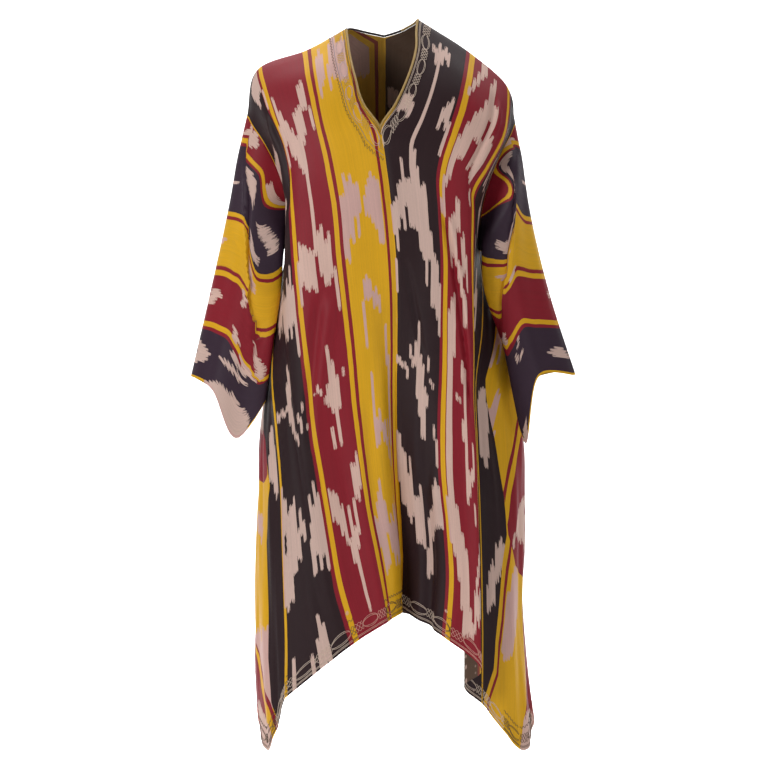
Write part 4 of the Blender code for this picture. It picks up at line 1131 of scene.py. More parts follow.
def cloth_material(name, pattern, wrong_side=False):
    """A cloth finish: the dyed pattern under the woven finish. On the wrong side it is mixed toward a brown:
    paler on the dark stripes and duller, as the reverse of the weave is, and darker on the bright stripes as
    painted shade of the garment's hollow inside.
    """
    made = bpy.data.materials.new(name)
    made.use_nodes = True
    tree = made.node_tree
    shader = tree.nodes["Principled BSDF"]
    uv = node(tree, "UVMap", uv_map="cloth")
    dyed = use_group(tree, pattern, Cloth=uv.outputs[0])
    colour = dyed["Colour"]
    if wrong_side:
        # Mixed toward a brown: partly the duller reverse of the weave, partly painted shade of the garment's
        # inside.
        colour = mixed(tree, 0.38, colour, (0.20, 0.13, 0.08, 1.0))
    wear = 0.8 if wrong_side else 0.4
    woven = use_group(tree, "woven finish", Cloth=uv.outputs[0], Colour=colour, Wear=wear)
    feed(tree, shader.inputs["Base Color"], woven["Colour"])
    feed(tree, shader.inputs["Roughness"], woven["Roughness"])
    feed(tree, shader.inputs["Normal"], woven["Normal"])
    shader.inputs["Specular IOR Level"].default_value = 0.15 if wrong_side else 0.22
    shader.inputs["Sheen Weight"].default_value = 0.02 if wrong_side else 0.03
    shader.inputs["Sheen Roughness"].default_value = 0.35
    shader.inputs["Sheen Tint"].default_value = (0.95, 0.88, 0.90, 1.0)
    return made
def cut_pieces():
    """The grids, normals and maps of all the cloth pieces, and the grids of the whole panels."""
    pieces = {}
    strips = {}
    for side in ("left", "right"):
        strips[side] = body_strip(side)
    join_centre(strips["left"][0], strips["right"][0])
    for side in ("left", "right"):
        sign = -1.0 if side == "left" else 1.0
        panel, u, v = strips[side]
        pieces["panel_" + side] = {"grid": panel, "u": u, "v": v, "outward": sign, "wrap": False}
        wedge = gore(side, panel)
        steps = np.linalg.norm(np.diff(wedge, axis=1), axis=2)
        out = np.concatenate((np.zeros((len(wedge), 1)), np.cumsum(steps, axis=1)), axis=1)
        down = np.broadcast_to(running_length(wedge)[:, None], out.shape)
        wedge = press_gore(wedge, out, down, side, -sign)
        middle = GORE_FRONT_COLUMNS
        for name, part in (("gore_front_", slice(0, middle + 1)), ("gore_side_", slice(middle, None))):
            pieces[name + side] = {
                "grid": wedge[:, part], "u": out[:, part], "v": down[:, part], "outward": -sign,
                "wrap": False,
            }
        arm = sleeve(side, panel, wedge)
        u, v = sleeve_map(side, arm)
        arm = press_sleeve(arm, u, v, side, sign)
        for name, part in (
            ("sleeve_upper_", slice(0, SLEEVE_UPPER_ROWS + 1)),
            ("sleeve_lower_", slice(SLEEVE_UPPER_ROWS, None)),
        ):
            shift = UPPER_STRIP_START if name == "sleeve_upper_" else 0.0
            pieces[name + side] = {
                "grid": arm[part], "u": u[part] - shift, "v": v[part], "outward": sign, "wrap": True,
            }
    shared_normals(pieces)
    return pieces


def sleeve_map(side, arm):
    """Across: the cloth's length to the cuff. Along: round the arm, from -0.25 at the top to 0.25.

    The stripes hang askew where the sleeve folds, so each length is read from the lines on the cloth.
    """
    columns = arm.shape[1]
    closed = np.concatenate((arm, arm[:, :1]), axis=1)
    steps = np.linalg.norm(np.diff(closed, axis=0), axis=2)
    run = np.concatenate((np.zeros((1, columns + 1)), np.cumsum(steps, axis=0)))
    to_cuff = run[-1] - run
    around = np.concatenate(([0.0], np.cumsum(np.linalg.norm(np.diff(closed, axis=1), axis=2).mean(axis=0))))
    share = around / around[-1]
    part = np.concatenate((np.linspace(0.0, SLEEVE_SEAM, SLEEVE_UPPER_ROWS + 1),
                           np.linspace(SLEEVE_SEAM, 1.0, SLEEVE_LOWER_ROWS + 1)[1:]))

    def line_at(name):
        places, lengths = np.array(SLEEVE_LINES[side][name], float).T
        near = [np.interp(share + step, places, lengths) for step in np.linspace(-0.045, 0.045, 9)]
        return np.mean(near, axis=0) / 1000.0

    def lengths_on(layer):
        lines = [line_at("cuff line")] + [line_at(layer + name) for name in (" low", " middle", " high")]
        read = np.empty_like(to_cuff)
        for column in range(columns + 1):
            marks = [0.0] + [line[column] for line in lines]
            marks.append(marks[-1] + 0.2)
            read[:, column] = np.interp(to_cuff[:, column], marks, SLEEVE_MARKS)
        return read

    fold = np.interp(part, *np.array(SLEEVE_LINES[side]["fold"], float).T)[:, None]
    inside = np.clip((share[None, :] - fold) / 0.006 + 0.5, 0.0, 1.0) * (share < 0.55)
    u = lengths_on("outer") * (1.0 - inside) + lengths_on("inner") * inside
    v = np.broadcast_to(share[None, :] * 0.5 - 0.25, u.shape)
    return u, v


def press_sleeve(arm, u, v, side, outward):
    """Creases in the sleeve: across is the length to the cuff, down is the way round from the top."""
    rows, columns = arm.shape[:2]
    normals = grid_normals(arm, True) * outward
    to_cuff = u[:, :columns] * 1000.0
    around = (v[:, :columns] + 0.25) * 1000.0
    moved = np.zeros((rows, columns))
    for panel, half, height, *places in CREASES:
        if panel != "sleeve " + side:
            continue
        gap, along = near_line(to_cuff, around, places)
        fade = smooth_step(np.minimum(along, 1.0 - along) * 5.0)
        moved += height * smooth_step(1.0 - gap / (half * 1.6)) * fade
    for scale_u, scale_v, phase, height in SOFT_WAVES:
        moved += 0.6 * height * np.sin(around / abs(scale_u) * 1.3 + phase + to_cuff / scale_v)
    part = np.concatenate((np.linspace(0.0, SLEEVE_SEAM, SLEEVE_UPPER_ROWS + 1),
                           np.linspace(SLEEVE_SEAM, 1.0, SLEEVE_LOWER_ROWS + 1)[1:]))[:, None]
    fold = np.interp(part, *np.array(SLEEVE_LINES[side]["fold"], float).T) * 500.0
    past = around - fold
    over = 2.6 * smooth_step(1.0 + past / 26.0)
    under = -5.0 * smooth_step(1.0 - past / 34.0)
    overlap = np.where(past < 0.0, over, under)
    moved += overlap * smooth_step((part - 0.10) / 0.10) * smooth_step((0.66 - part) / 0.12)
    seam = smooth_step(np.minimum(around, 500.0 - around) / 14.0)
    return arm + normals * (moved * seam * smooth_step(part * 10.0) / 1000.0)[:, :, None]


def press_gore(wedge, u, v, side, outward):
    """Slack in the gores, which hang free between the seams."""
    normals = grid_normals(wedge) * outward
    seam = smooth_step(np.minimum(u, u[:, -1:] - u) / 0.02) * smooth_step(v / 0.08)
    moved = 2.0 * np.sin(u * 95.0 + v * 7.0 + (0.5 if side == "left" else 2.0)) * smooth_step(v / 0.5)
    moved += 0.7 * np.sin(u * 210.0 - v * 16.0)
    return wedge + normals * (moved * seam / 1000.0)[:, :, None]


def gore_group(side):
    """The gore's pieced offcuts: each has its own slant, and its stripes run along its cut edge."""
    cuts = GORE_CUTS[side]
    for part in ("dark", "lower", "slant"):
        name = part + " " + side
        dye_group("gore " + name, STRIPES_GORES[name], BOUND_GORES[name], 285.0, 0.9)
    label = "gore dyes " + side
    tree, given, taken = group_tree(label, CLOTH_IN, DYES_OUT)
    parts = node(tree, "SeparateXYZ")
    feed(tree, parts.inputs[0], given.outputs[0])
    u, v = parts.outputs[0], parts.outputs[1]
    reach = sum_of(tree, "DIVIDE", v, 0.9)

    def line_at(points):
        made = node(tree, "FloatCurve")
        curve = made.mapping.curves[0]
        spots = [(down / 900.0, out / 1200.0 + 0.5) for down, out in points]
        curve.points[0].location = spots[0]
        curve.points[-1].location = spots[-1]
        for x, y in spots[1:-1]:
            curve.points.new(x, y)
        for point in curve.points:
            point.handle_type = "VECTOR"
        made.mapping.update()
        feed(tree, made.inputs["Value"], reach)
        return sum_of(tree, "MULTIPLY_ADD", made.outputs[0], 1.2, -0.6)

    dark, lower, slant = (line_at(cuts[part]) for part in ("dark", "lower", "slant"))

    def colours(part, across):
        place = node(tree, "CombineXYZ")
        feed(tree, place.inputs[0], across)
        feed(tree, place.inputs[1], v)
        return use_group(tree, "gore " + part + " " + side, Cloth=place.outputs[0])

    first = colours("dark", u)
    second = colours("lower", sum_of(tree, "SUBTRACT", u, dark))
    third = colours("slant", sum_of(tree, "MULTIPLY", sum_of(tree, "SUBTRACT", u, slant), 0.65))
    beyond_dark = sum_of(tree, "GREATER_THAN", u, dark)
    beyond_lower = sum_of(tree, "GREATER_THAN", u, lower)
    colour = mixed(tree, beyond_dark, first["Colour"], second["Colour"])
    feed(tree, taken.inputs[0], mixed(tree, beyond_lower, colour, third["Colour"]))
    feed(tree, taken.inputs[1], first["Pale"])


def edge_ring(strips):
    """The neck edge as a closed ring of (point, normal, step) from the front V over both shoulders."""
    ridge = SKIRT_ROWS + ARMHOLE_ROWS + NECK_ROWS
    first = ridge - NECK_ROWS
    last = ridge + BACK_NECK_ROWS
    loop = []
    for side, rows in (("left", range(first, last + 1)), ("right", range(last - 1, first, -1))):
        piece = strips["panel_" + side]
        grid, normals = piece["grid"], piece["normals"]
        for row in rows:
            step = grid[row, 0] - grid[row, 1]
            loop.append((grid[row, 0], normals[row, 0], step / np.linalg.norm(step)))
    return loop, last - first
# Embroidery bands, in mm: their unit is a lattice and then a long loop, worked with four threads
LATTICE_LENGTH = 22.0
LOOP_LENGTH = 32.0
LATTICE_TURN = 24.0
STITCH_STEP = 1.4
# Outer edge of the neck embroidery: across the strip, down from the ridge
NECK_BAND = {
    "left": ((55, -45), (55, 0), (50.5, 68), (44.8, 135), (39.3, 194), (31.7, 240), (17, 262), (0.6, 279)),
    "right": ((42, -45), (38.8, 0), (32.9, 76), (29, 143), (30.5, 198), (25.7, 245), (13, 264), (0.6, 277)),
}


def place_on(piece, u, v):
    """The points and normals of a cloth piece at places of its map."""
    rows_v = piece["v"][:, 0]
    order = 1.0 if rows_v[-1] > rows_v[0] else -1.0
    row = np.interp(v * order, rows_v * order, np.arange(len(rows_v)))
    low = np.minimum(row.astype(int), len(rows_v) - 2)
    part = row - low
    points = np.zeros((len(u), 3))
    normals = np.zeros((len(u), 3))
    for index in range(len(u)):
        for line, weight in ((low[index], 1.0 - part[index]), (low[index] + 1, part[index])):
            column = np.interp(u[index], piece["u"][line], np.arange(piece["u"].shape[1]))
            near = min(int(column), piece["u"].shape[1] - 2)
            rest = column - near
            for grid, total in ((piece["grid"], points), (piece["normals"], normals)):
                total[index] += weight * (grid[line, near] * (1.0 - rest) + grid[line, near + 1] * rest)
    return points, normals / np.linalg.norm(normals, axis=1, keepdims=True)


def wave(value):
    """A rounded zigzag between 0 and 1."""
    return 0.5 + np.arcsin(0.96 * np.sin(value * 2.0 * np.pi)) / np.pi


def braid(along, strand):
    """Where one of the four threads of the braid lies across its band, from 0 to 1."""
    unit = LATTICE_LENGTH + LOOP_LENGTH
    place = np.mod(along, unit)
    lattice = 0.04 + 0.92 * wave(along / LATTICE_TURN + strand / 4.0)
    share = np.clip((place - LATTICE_LENGTH) / LOOP_LENGTH, 0.0, 1.0)
    swell = np.clip(np.sin(share * np.pi), 0.0, 1.0) ** 0.45
    inner = 0.72 if strand % 2 else 1.0
    sign = 1.0 if strand < 2 else -1.0
    loop = 0.5 + sign * 0.47 * swell * inner
    mix = smooth_step(np.minimum(place - LATTICE_LENGTH, unit - place) / 5.0 + 0.5)
    return lattice * (1.0 - mix) + loop * mix


def band_lines(length):
    """The threads of a band as (name, along, across), across being 0 at the inner edge and 1 at the outer."""
    along = np.arange(0.0, length, STITCH_STEP)
    lines = [("braid", along, 0.20 + 0.58 * braid(along, strand)) for strand in range(4)]
    lines.append(("stitch", along, np.full(along.shape, 0.055)))
    lines.append(("stitch", along, np.full(along.shape, 0.115)))
    lines.append(("chain", along, np.full(along.shape, 0.86) + 0.012 * np.sin(along * 2.0)))
    lines.append(("edge", along, 0.93 + 0.16 * wave(along / 7.5)))
    return lines


def stripe_at(stripes, across):
    """The colour of the loom stripe at a place across the strip, in mm."""
    found = stripes[0][1]
    for start, colour in stripes:
        if across >= start:
            found = colour
    return found


def split_by_colour(points, colours, threads):
    """Cuts one line of thread wherever its colour changes."""
    start = 0
    for index in range(1, len(points) + 1):
        if index == len(points) or colours[index] != colours[start]:
            end = min(index + 1, len(points))
            if end - start > 1 and colours[start]:
                threads.setdefault(colours[start], []).append(points[start:end])
            start = index


def lay_thread(piece, u, v, colours, threads):
    """Lays one line of thread on the face of a cloth piece."""
    radius = bpy.context.scene.kaftan_cloth.thread / 2.0
    points, normals = place_on(piece, u, v)
    lift = bpy.context.scene.kaftan_cloth.thickness / 2.0 + radius * 0.45
    split_by_colour(points + normals * lift, colours, threads)


def thread_object(name, lines, material):
    """Threads as one piece: a bevelled curve, turned into a mesh."""
    bpy.ops.object.select_all(action="DESELECT")
    bpy.ops.curve.primitive_nurbs_path_add()
    made = bpy.context.active_object
    made.name = name
    curve = made.data
    curve.splines.clear()
    curve.dimensions = "3D"
    curve.bevel_depth = bpy.context.scene.kaftan_cloth.thread / 2.0
    curve.bevel_resolution = 0
    curve.use_fill_caps = True
    for points in lines:
        spline = curve.splines.new("POLY")
        spline.points.add(len(points) - 1)
        spline.points.foreach_set("co", np.column_stack((points, np.ones(len(points)))).reshape(-1))
    bpy.ops.object.convert(target="MESH")
    made = bpy.context.active_object
    made.data.name = name
    made.data.materials.clear()
    made.data.materials.append(material)
    made.data.polygons.foreach_set("use_smooth", np.ones(len(made.data.polygons), bool))
    return made


def thread_material(name, colour):
    """Twisted silk thread."""
    made = bpy.data.materials.new(name)
    made.use_nodes = True
    tree = made.node_tree
    shader = tree.nodes["Principled BSDF"]
    place = node(tree, "TexCoord")
    noise = node(tree, "TexNoise", noise_dimensions="3D")
    feed(tree, noise.inputs["Vector"], place.outputs["Object"])
    noise.inputs["Scale"].default_value = 420.0
    noise.inputs["Detail"].default_value = 2.0
    level = sum_of(tree, "MULTIPLY_ADD", noise.outputs[0], 0.7, 0.62)
    shade = node(tree, "CombineXYZ")
    for index in range(3):
        feed(tree, shade.inputs[index], level)
    feed(tree, shader.inputs["Base Color"], mixed(tree, 1.0, (*colour, 1.0), shade.outputs[0], "MULTIPLY"))
    feed(tree, shader.inputs["Roughness"], sum_of(tree, "MULTIPLY_ADD", noise.outputs[0], 0.2, 0.4))
    bump = node(tree, "Bump")
    bump.inputs["Strength"].default_value = 0.5
    bump.inputs["Distance"].default_value = 0.0003
    feed(tree, bump.inputs["Height"], noise.outputs[0])
    feed(tree, shader.inputs["Normal"], bump.outputs[0])
    return made


def neck_thread(side, kind):
    """The thread colour of a line of the neck embroidery, or none where it isn't worked."""
    if side == "left":
        return {"braid": "lilac", "stitch": "brown", "chain": "blue", "edge": "brown"}[kind]
    return {"braid": "beige", "stitch": "beige", "chain": "", "edge": ""}[kind]


def hem_thread(kind, across, stripes):
    """The thread colour of the hem embroidery at a place."""
    on = stripe_at(stripes, across)
    if kind == "edge":
        return "brown" if on == "yellow" else ""
    if kind == "chain":
        return ""
    return {"yellow": "brown", "red": "pale", "dark": "beige"}[on]


def neck_embroidery_threads(pieces):
    threads = {}
    for side in ("left", "right"):
        piece = pieces["panel_" + side]
        ridge = SKIRT_ROWS + ARMHOLE_ROWS + NECK_ROWS
        top = slice(SKIRT_ROWS + ARMHOLE_ROWS, ridge + BACK_NECK_ROWS + 1)
        edge_v = piece["v"][top, 0][::-1]
        edge_u = piece["u"][top, 0][::-1]
        outer = np.array(NECK_BAND[side], float) / 1000.0
        steps = np.concatenate(([0.0], np.cumsum(np.linalg.norm(np.diff(outer, axis=0), axis=1)))) * 1000.0
        length = steps[-1]
        point_v = edge_v[-1]
        for kind, along, q in band_lines(length):
            far_u = np.interp(along, steps, outer[:, 0])
            far_v = np.interp(along, steps, outer[:, 1])
            near_v = np.interp(along / length, (0.0, 1.0), (outer[0, 1], point_v + 0.001))
            near_v = np.minimum(far_v + (near_v - far_v) * smooth_step(along / length * 3.0 - 1.4), point_v)
            near_u = np.interp(near_v, edge_v, edge_u) + 0.0006
            across = near_u + (far_u - near_u) * q
            down = near_v + (far_v - near_v) * q
            colours = [neck_thread(side, kind)] * len(across)
            if kind == "braid" and side == "left":
                colours = ["gold" if value % 54.0 < LATTICE_LENGTH else "lilac" for value in along]
            lay_thread(piece, np.maximum(across, 0.0006), down, colours, threads)
    return threads


def hem_embroidery_threads(pieces):
    threads = {}
    for side in ("left", "right"):
        for name in ("panel_", "gore_front_", "gore_side_"):
            piece = pieces[name + side]
            for end in ((0, -1) if name == "panel_" else (-1,)):
                hem = piece["v"][end, 0]
                first, last = piece["u"][end, 0], piece["u"][end, -1]
                stripes = STRIPES[side] if name == "panel_" else ((0, "dark"), (60, "yellow"), (180, "red"))
                for kind, along, q in band_lines((last - first) * 1000.0 + 60.0):
                    width = along[along < (last - first) * 1000.0 - 0.6]
                    q = q[: len(width)]
                    height = 0.003 + 0.034 * q
                    across = first + 0.0006 + width / 1000.0
                    down = hem - np.sign(hem) * height
                    colours = [hem_thread(kind, value * 1000.0, stripes) for value in across]
                    lay_thread(piece, across, down, colours, threads)
    return threads


THREADS = {
    "gold": (0.62, 0.38, 0.06),
    "lilac": (0.62, 0.44, 0.42),
    "blue": (0.20, 0.19, 0.24),
    "brown": (0.10, 0.055, 0.03),
    "beige": (0.66, 0.52, 0.42),
    "pale": (0.68, 0.33, 0.27),
}


def sew_threads(label, threads):
    for colour, lines in threads.items():
        label_of_thread = colour + " thread"
        material = bpy.data.materials.get(label_of_thread)
        if material is None:
            material = thread_material(label_of_thread, THREADS[colour])
        made = thread_object(label + "_" + colour, lines, material)
        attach(made, "root")
# Rolled neck edge
BINDING_WIDTH = 0.0042
BINDING_THICKNESS = 0.0026
BINDING_SIDES = 12
SEAM_GAP = 0.0004


def binding_object(pieces, materials):
    """The rolled edge round the neck: a folded strip, closed at the point of the V."""
    loop, top = edge_ring(pieces)
    points = np.array([entry[0] for entry in loop])
    count = len(points)
    rings = []
    for index, (point, normal, step) in enumerate(loop):
        along = points[(index + 1) % count] - points[index - 1]
        along /= np.linalg.norm(along)
        normal = normal / np.linalg.norm(normal)
        into = step - along * np.dot(step, along)
        if index in (0, top):
            before = points[index - 1] - point
            after = points[(index + 1) % count] - point
            into = before / np.linalg.norm(before) + after / np.linalg.norm(after)
            if index != 0:
                into = np.array((0.0, -0.3, 1.0))
            into -= along * np.dot(into, along)
        into -= normal * np.dot(into, normal)
        into /= np.linalg.norm(into)
        deep = 1.9 if index == 0 else 1.0
        centre = point + into * (SEAM_GAP * 1.2 + BINDING_WIDTH / 2.0) * deep
        angles = 2.0 * np.pi * (np.arange(BINDING_SIDES) + 0.5) / BINDING_SIDES
        width = np.sign(np.cos(angles)) * np.abs(np.cos(angles)) ** 0.7 * BINDING_WIDTH / 2.0
        depth = np.sign(np.sin(angles)) * np.abs(np.sin(angles)) ** 0.7 * BINDING_THICKNESS / 2.0
        rings.append(centre + np.outer(width, into) + np.outer(depth, normal))
    verts = np.concatenate(rings)
    steps = np.linalg.norm(np.diff(points[list(range(count)) + [0]], axis=0), axis=1)
    run = np.concatenate(([0.0], np.cumsum(steps)))
    faces = []
    maps = []
    for index in range(count):
        following = (index + 1) % count
        for side in range(BINDING_SIDES):
            other = (side + 1) % BINDING_SIDES
            faces.append((index * BINDING_SIDES + side, following * BINDING_SIDES + side,
                          following * BINDING_SIDES + other, index * BINDING_SIDES + other))
            round_one, round_two = side * 0.0011, (side + 1) * 0.0011
            maps.extend(((round_one, run[index]), (round_one, run[index + 1]),
                         (round_two, run[index + 1]), (round_two, run[index])))
    mesh = bpy.data.meshes.new("neck_edge")
    mesh.from_pydata(verts.tolist(), [], faces)
    mesh.uv_layers.new(name="cloth").data.foreach_set("uv", np.array(maps, np.float32).reshape(-1))
    mesh.polygons.foreach_set("use_smooth", np.ones(len(faces), bool))
    for material in materials:
        mesh.materials.append(material)
    mesh.update()
    made = bpy.data.objects.new("neck_edge", mesh)
    bpy.context.scene.collection.objects.link(made)
    return made


def edge_material():
    """Overcast thread along the rolled edge: gold silk, dark over the wearer's left shoulder."""
    dyes = bpy.context.scene.kaftan_dyes
    made = bpy.data.materials.new("rolled edge")
    made.use_nodes = True
    tree = made.node_tree
    shader = tree.nodes["Principled BSDF"]
    uv = node(tree, "UVMap", uv_map="cloth")
    parts = node(tree, "SeparateXYZ")
    feed(tree, parts.inputs[0], uv.outputs[0])
    u, v = parts.outputs[0], parts.outputs[1]
    slant = sum_of(tree, "MULTIPLY", u, 700.0)
    turns = sum_of(tree, "SINE", sum_of(tree, "MULTIPLY_ADD", v, 2.0 * math.pi / 0.0012, slant))
    past_start = sum_of(tree, "GREATER_THAN", v, 0.235)
    dark = sum_of(tree, "MULTIPLY", past_start, sum_of(tree, "LESS_THAN", v, 0.385))
    colour = mixed(tree, dark, (*dyes.gold_thread, 1.0), (*dyes.dark, 1.0))
    shade = node(tree, "CombineXYZ")
    # The colour is darker between the turns, where the bump is low: painted shade in the grooves of the
    # overcast thread.
    level = sum_of(tree, "MULTIPLY_ADD", turns, 0.16, 0.92)
    for index in range(3):
        feed(tree, shade.inputs[index], level)
    feed(tree, shader.inputs["Base Color"], mixed(tree, 1.0, colour, shade.outputs[0], "MULTIPLY"))
    feed(tree, shader.inputs["Roughness"], sum_of(tree, "MULTIPLY_ADD", turns, 0.08, 0.5))
    bump = node(tree, "Bump")
    bump.inputs["Strength"].default_value = 0.6
    bump.inputs["Distance"].default_value = 0.0004
    feed(tree, bump.inputs["Height"], turns)
    feed(tree, shader.inputs["Normal"], bump.outputs[0])
    shader.inputs["Sheen Weight"].default_value = 0.15
    return made


CUT = {}


def cut():
    """The cut and folded pieces, worked out once and shared by the operators."""
    if not CUT:
        CUT.update(cut_pieces())
    return CUT


def sew(name, nodes, pattern):
    """Makes one cloth piece and hides the solid that it stands for."""
    piece = cut()[name]
    materials = [
        cloth_material(pattern + " face", pattern),
        cloth_material(pattern + " wrong side", pattern, True),
    ]
    made = cloth_object(name + "_cloth", piece, materials)
    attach(made, "root")
    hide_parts(*nodes)
    return made


class KaftanCloth(bpy.types.PropertyGroup):
    thickness: bpy.props.FloatProperty(
        name="Cloth thickness", description="Thickness of the cloth wall", default=0.0011, min=0.0005,
        max=0.003, unit="LENGTH",
    )
    thread: bpy.props.FloatProperty(
        name="Thread thickness", description="Diameter of the embroidery thread", default=0.0009,
        min=0.0003, max=0.003, unit="LENGTH",
    )


class KaftanDyes(bpy.types.PropertyGroup):
    red: bpy.props.FloatVectorProperty(
        name="Red", description="Madder red of the stripes", subtype="COLOR", size=3, min=0.0, max=1.0,
        default=(0.240, 0.010, 0.020),
    )
    dark: bpy.props.FloatVectorProperty(
        name="Dark", description="Dark purple brown of the stripes", subtype="COLOR", size=3, min=0.0,
        max=1.0, default=(0.023, 0.009, 0.011),
    )
    dark_on_sleeves: bpy.props.FloatVectorProperty(
        name="Dark on sleeves", description="Dark purple of the sleeves, which is bluer", subtype="COLOR",
        size=3, min=0.0, max=1.0, default=(0.036, 0.018, 0.032),
    )
    yellow: bpy.props.FloatVectorProperty(
        name="Yellow", description="Golden yellow of the stripes", subtype="COLOR", size=3, min=0.0,
        max=1.0, default=(0.700, 0.370, 0.010),
    )
    pale: bpy.props.FloatVectorProperty(
        name="Pale", description="Bound silk on the red stripes", subtype="COLOR", size=3, min=0.0, max=1.0,
        default=(0.66, 0.44, 0.37),
    )
    pale_on_dark: bpy.props.FloatVectorProperty(
        name="Pale on dark", description="Bound silk on the dark stripes", subtype="COLOR", size=3, min=0.0,
        max=1.0, default=(0.60, 0.42, 0.36),
    )
    lilac: bpy.props.FloatVectorProperty(
        name="Lilac", description="Bound silk on the yellow stripes", subtype="COLOR", size=3, min=0.0,
        max=1.0, default=(0.60, 0.37, 0.33),
    )
    gold_thread: bpy.props.FloatVectorProperty(
        name="Gold thread", description="Golden silk of the neck edge and its stitches", subtype="COLOR",
        size=3, min=0.0, max=1.0, default=(0.45, 0.27, 0.05),
    )


class KaftanStage(bpy.types.PropertyGroup):
    camera_distance: bpy.props.FloatProperty(
        name="Camera distance", description="Distance of the camera in front of the kaftan", default=12.0,
        min=2.0, max=40.0, unit="LENGTH",
    )
    camera_height: bpy.props.FloatProperty(
        name="Camera height", description="Height of the camera from the shoulders", default=-0.5777,
        unit="LENGTH",
    )
    floor_height: bpy.props.FloatProperty(
        name="Floor height", description="Height of the floor from the shoulders", default=-1.42,
        unit="LENGTH",
    )


class KAFTAN_OT_panels(bpy.types.Operator):
    """Makes the two body panels, each one loom strip from the front hem over the shoulder to the back hem."""
    bl_idname = "kaftan.panels"
    bl_label = "Body panels"

    def execute(self, context):
        for side in ("left", "right"):
            pattern = "panel dyes " + side
            dye_group(pattern, STRIPES[side], BOUND[side], 285.0, 1.1)
            sew("panel_" + side, ["panel_" + side], pattern)
        return {"FINISHED"}


class KAFTAN_OT_gores(bpy.types.Operator):
    """Makes the side gores, pieced from slanted offcuts between the front and back panels."""
    bl_idname = "kaftan.gores"
    bl_label = "Side gores"

    def execute(self, context):
        for side in ("left", "right"):
            gore_group(side)
            pattern = "gore dyes " + side
            sew("gore_front_" + side, ["gore_front_" + side], pattern)
            sew("gore_side_" + side, ["gore_side_" + side], pattern)
        return {"FINISHED"}


class KAFTAN_OT_sleeves(bpy.types.Operator):
    """Makes the dropped sleeves, each of two strips whose stripes run round the arm."""
    bl_idname = "kaftan.sleeves"
    bl_label = "Sleeves"

    def execute(self, context):
        for side in ("left", "right"):
            for part, flat, area in (("upper", (0.17, 0.50), 0.067), ("lower", (0.285, 0.46), 0.105)):
                name = "sleeve_" + part + "_" + side
                pattern = part + " sleeve dyes " + side
                dye_group(pattern, STRIPES_SLEEVES["sleeve_" + part], BOUND_SLEEVES[name], 285.0, 0.3)
                sew(name, [name], pattern)
        return {"FINISHED"}


class KAFTAN_OT_binding(bpy.types.Operator):
    """Makes the rolled and overcast edge of the neck."""
    bl_idname = "kaftan.binding"
    bl_label = "Neck edge"

    def execute(self, context):
        made = binding_object(cut(), [edge_material()])
        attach(made, "root")
        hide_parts("neck_binding")
        return {"FINISHED"}


class KAFTAN_OT_embroidery(bpy.types.Operator):
    """Works the bands of embroidery round the neck and along the hem."""
    bl_idname = "kaftan.embroidery"
    bl_label = "Embroidery"

    def execute(self, context):
        sew_threads("neck_embroidery", neck_embroidery_threads(cut()))
        sew_threads("hem_embroidery", hem_embroidery_threads(cut()))
        return {"FINISHED"}


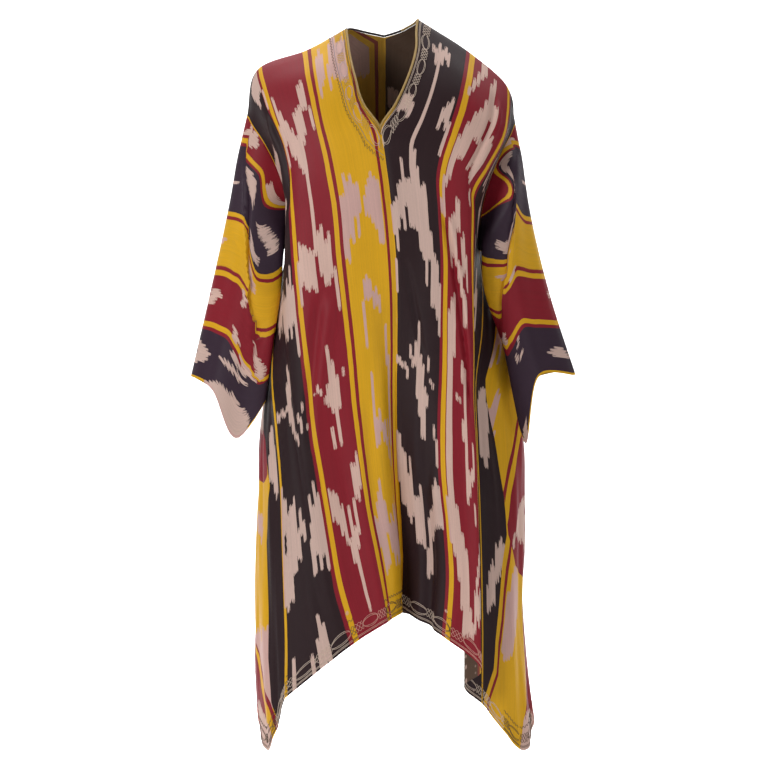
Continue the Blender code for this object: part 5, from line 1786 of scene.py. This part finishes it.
class KAFTAN_OT_stage(bpy.types.Operator):
    """Sets up the pale sweep, the soft studio lights and the camera."""
    bl_idname = "kaftan.stage"
    bl_label = "Studio"

    def execute(self, context):
        settings = context.scene.kaftan_stage
        scene = context.scene
        bpy.ops.object.select_all(action="DESELECT")
        bpy.ops.mesh.primitive_plane_add(size=1.0)
        sweep = context.active_object
        sweep.name = "studio_sweep"
        profile = [(-16.0, 0.0), (13.0, 0.0)]
        for step in range(1, 13):
            angle = step / 12.0 * math.pi / 2.0
            profile.append((13.0 + 2.0 * math.sin(angle), 2.0 - 2.0 * math.cos(angle)))
        profile.append((15.0, 12.0))
        points = []
        for x in (-16.0, 16.0):
            points.extend((x, y, settings.floor_height + z) for y, z in profile)
        count = len(profile)
        faces = [(index, count + index, count + index + 1, index + 1) for index in range(count - 1)]
        sweep.data.clear_geometry()
        sweep.data.from_pydata(points, [], faces)
        sweep.data.polygons.foreach_set("use_smooth", np.ones(len(faces), bool))
        paper = bpy.data.materials.new("studio paper")
        paper.use_nodes = True
        shader = paper.node_tree.nodes["Principled BSDF"]
        shader.inputs["Base Color"].default_value = (0.93, 0.93, 0.93, 1.0)
        shader.inputs["Roughness"].default_value = 0.9
        shader.inputs["Specular IOR Level"].default_value = 0.1
        sweep.data.materials.append(paper)
        for name, place, aim, size, power in (
            ("key light", (-3.0, -3.4, 1.5), (0.0, 0.0, -0.5), 1.8, 112.0),
            ("fill light", (3.0, -3.8, 0.4), (0.0, 0.0, -0.6), 2.6, 36.0),
            ("top light", (0.0, 0.4, 3.2), (0.0, 0.0, -0.5), 2.4, 26.0),
            ("near floor light", (0.0, 1.6, 2.6), (0.0, 5.0, 0.0), 4.0, 420.0),
            ("backdrop light", (0.0, 7.0, 4.5), (0.0, 11.0, -1.4), 4.0, 1400.0),
        ):
            bpy.ops.object.light_add(type="AREA", location=place)
            lamp = context.active_object
            lamp.name = name
            lamp.data.shape = "SQUARE"
            lamp.data.size = size
            lamp.data.energy = power
            away = np.array(aim) - np.array(place)
            lamp.rotation_euler = (
                math.atan2(math.hypot(away[0], away[1]), -away[2]), 0.0,
                math.atan2(away[1], away[0]) - math.pi / 2.0,
            )
        world = scene.world or bpy.data.worlds.new("studio air")
        scene.world = world
        world.use_nodes = True
        background = world.node_tree.nodes["Background"]
        background.inputs["Color"].default_value = (1.0, 1.0, 1.0, 1.0)
        background.inputs["Strength"].default_value = 0.20
        bpy.ops.object.camera_add(
            location=(0.0, -settings.camera_distance, settings.camera_height),
            rotation=(math.pi / 2.0, 0.0, 0.0),
        )
        camera = context.active_object
        camera.name = "photo_camera"
        camera.data.lens = 321.5
        camera.data.sensor_width = 36.0
        camera.data.clip_end = 100.0
        scene.camera = camera
        scene.view_settings.view_transform = "Standard"
        return {"FINISHED"}


class KAFTAN_PT_sidebar(bpy.types.Panel):
    bl_idname = "KAFTAN_PT_sidebar"
    bl_label = "Kaftan"
    bl_space_type = "VIEW_3D"
    bl_region_type = "UI"
    bl_category = "Kaftan"

    def draw(self, context):
        layout = self.layout
        for group in (context.scene.kaftan_cloth, context.scene.kaftan_dyes, context.scene.kaftan_stage):
            for name in group.__annotations__:
                layout.prop(group, name)
        for operator in OPERATORS:
            layout.operator(operator.bl_idname)


GROUPS = (KaftanCloth, KaftanDyes, KaftanStage)
OPERATORS = (
    KAFTAN_OT_panels, KAFTAN_OT_gores, KAFTAN_OT_sleeves,
    KAFTAN_OT_binding, KAFTAN_OT_embroidery, KAFTAN_OT_stage,
)


def register():
    for part in GROUPS + OPERATORS + (KAFTAN_PT_sidebar,):
        bpy.utils.register_class(part)
    bpy.types.Scene.kaftan_cloth = bpy.props.PointerProperty(type=KaftanCloth)
    bpy.types.Scene.kaftan_dyes = bpy.props.PointerProperty(type=KaftanDyes)
    bpy.types.Scene.kaftan_stage = bpy.props.PointerProperty(type=KaftanStage)


def unregister():
    del bpy.types.Scene.kaftan_stage
    del bpy.types.Scene.kaftan_dyes
    del bpy.types.Scene.kaftan_cloth
    for part in reversed(GROUPS + OPERATORS + (KAFTAN_PT_sidebar,)):
        bpy.utils.unregister_class(part)


def main():
    register()
    finish_group()
    bpy.ops.kaftan.panels()
    bpy.ops.kaftan.gores()
    bpy.ops.kaftan.sleeves()
    bpy.ops.kaftan.binding()
    bpy.ops.kaftan.embroidery()
    bpy.ops.kaftan.stage()


if __name__ == "__main__":
    main()
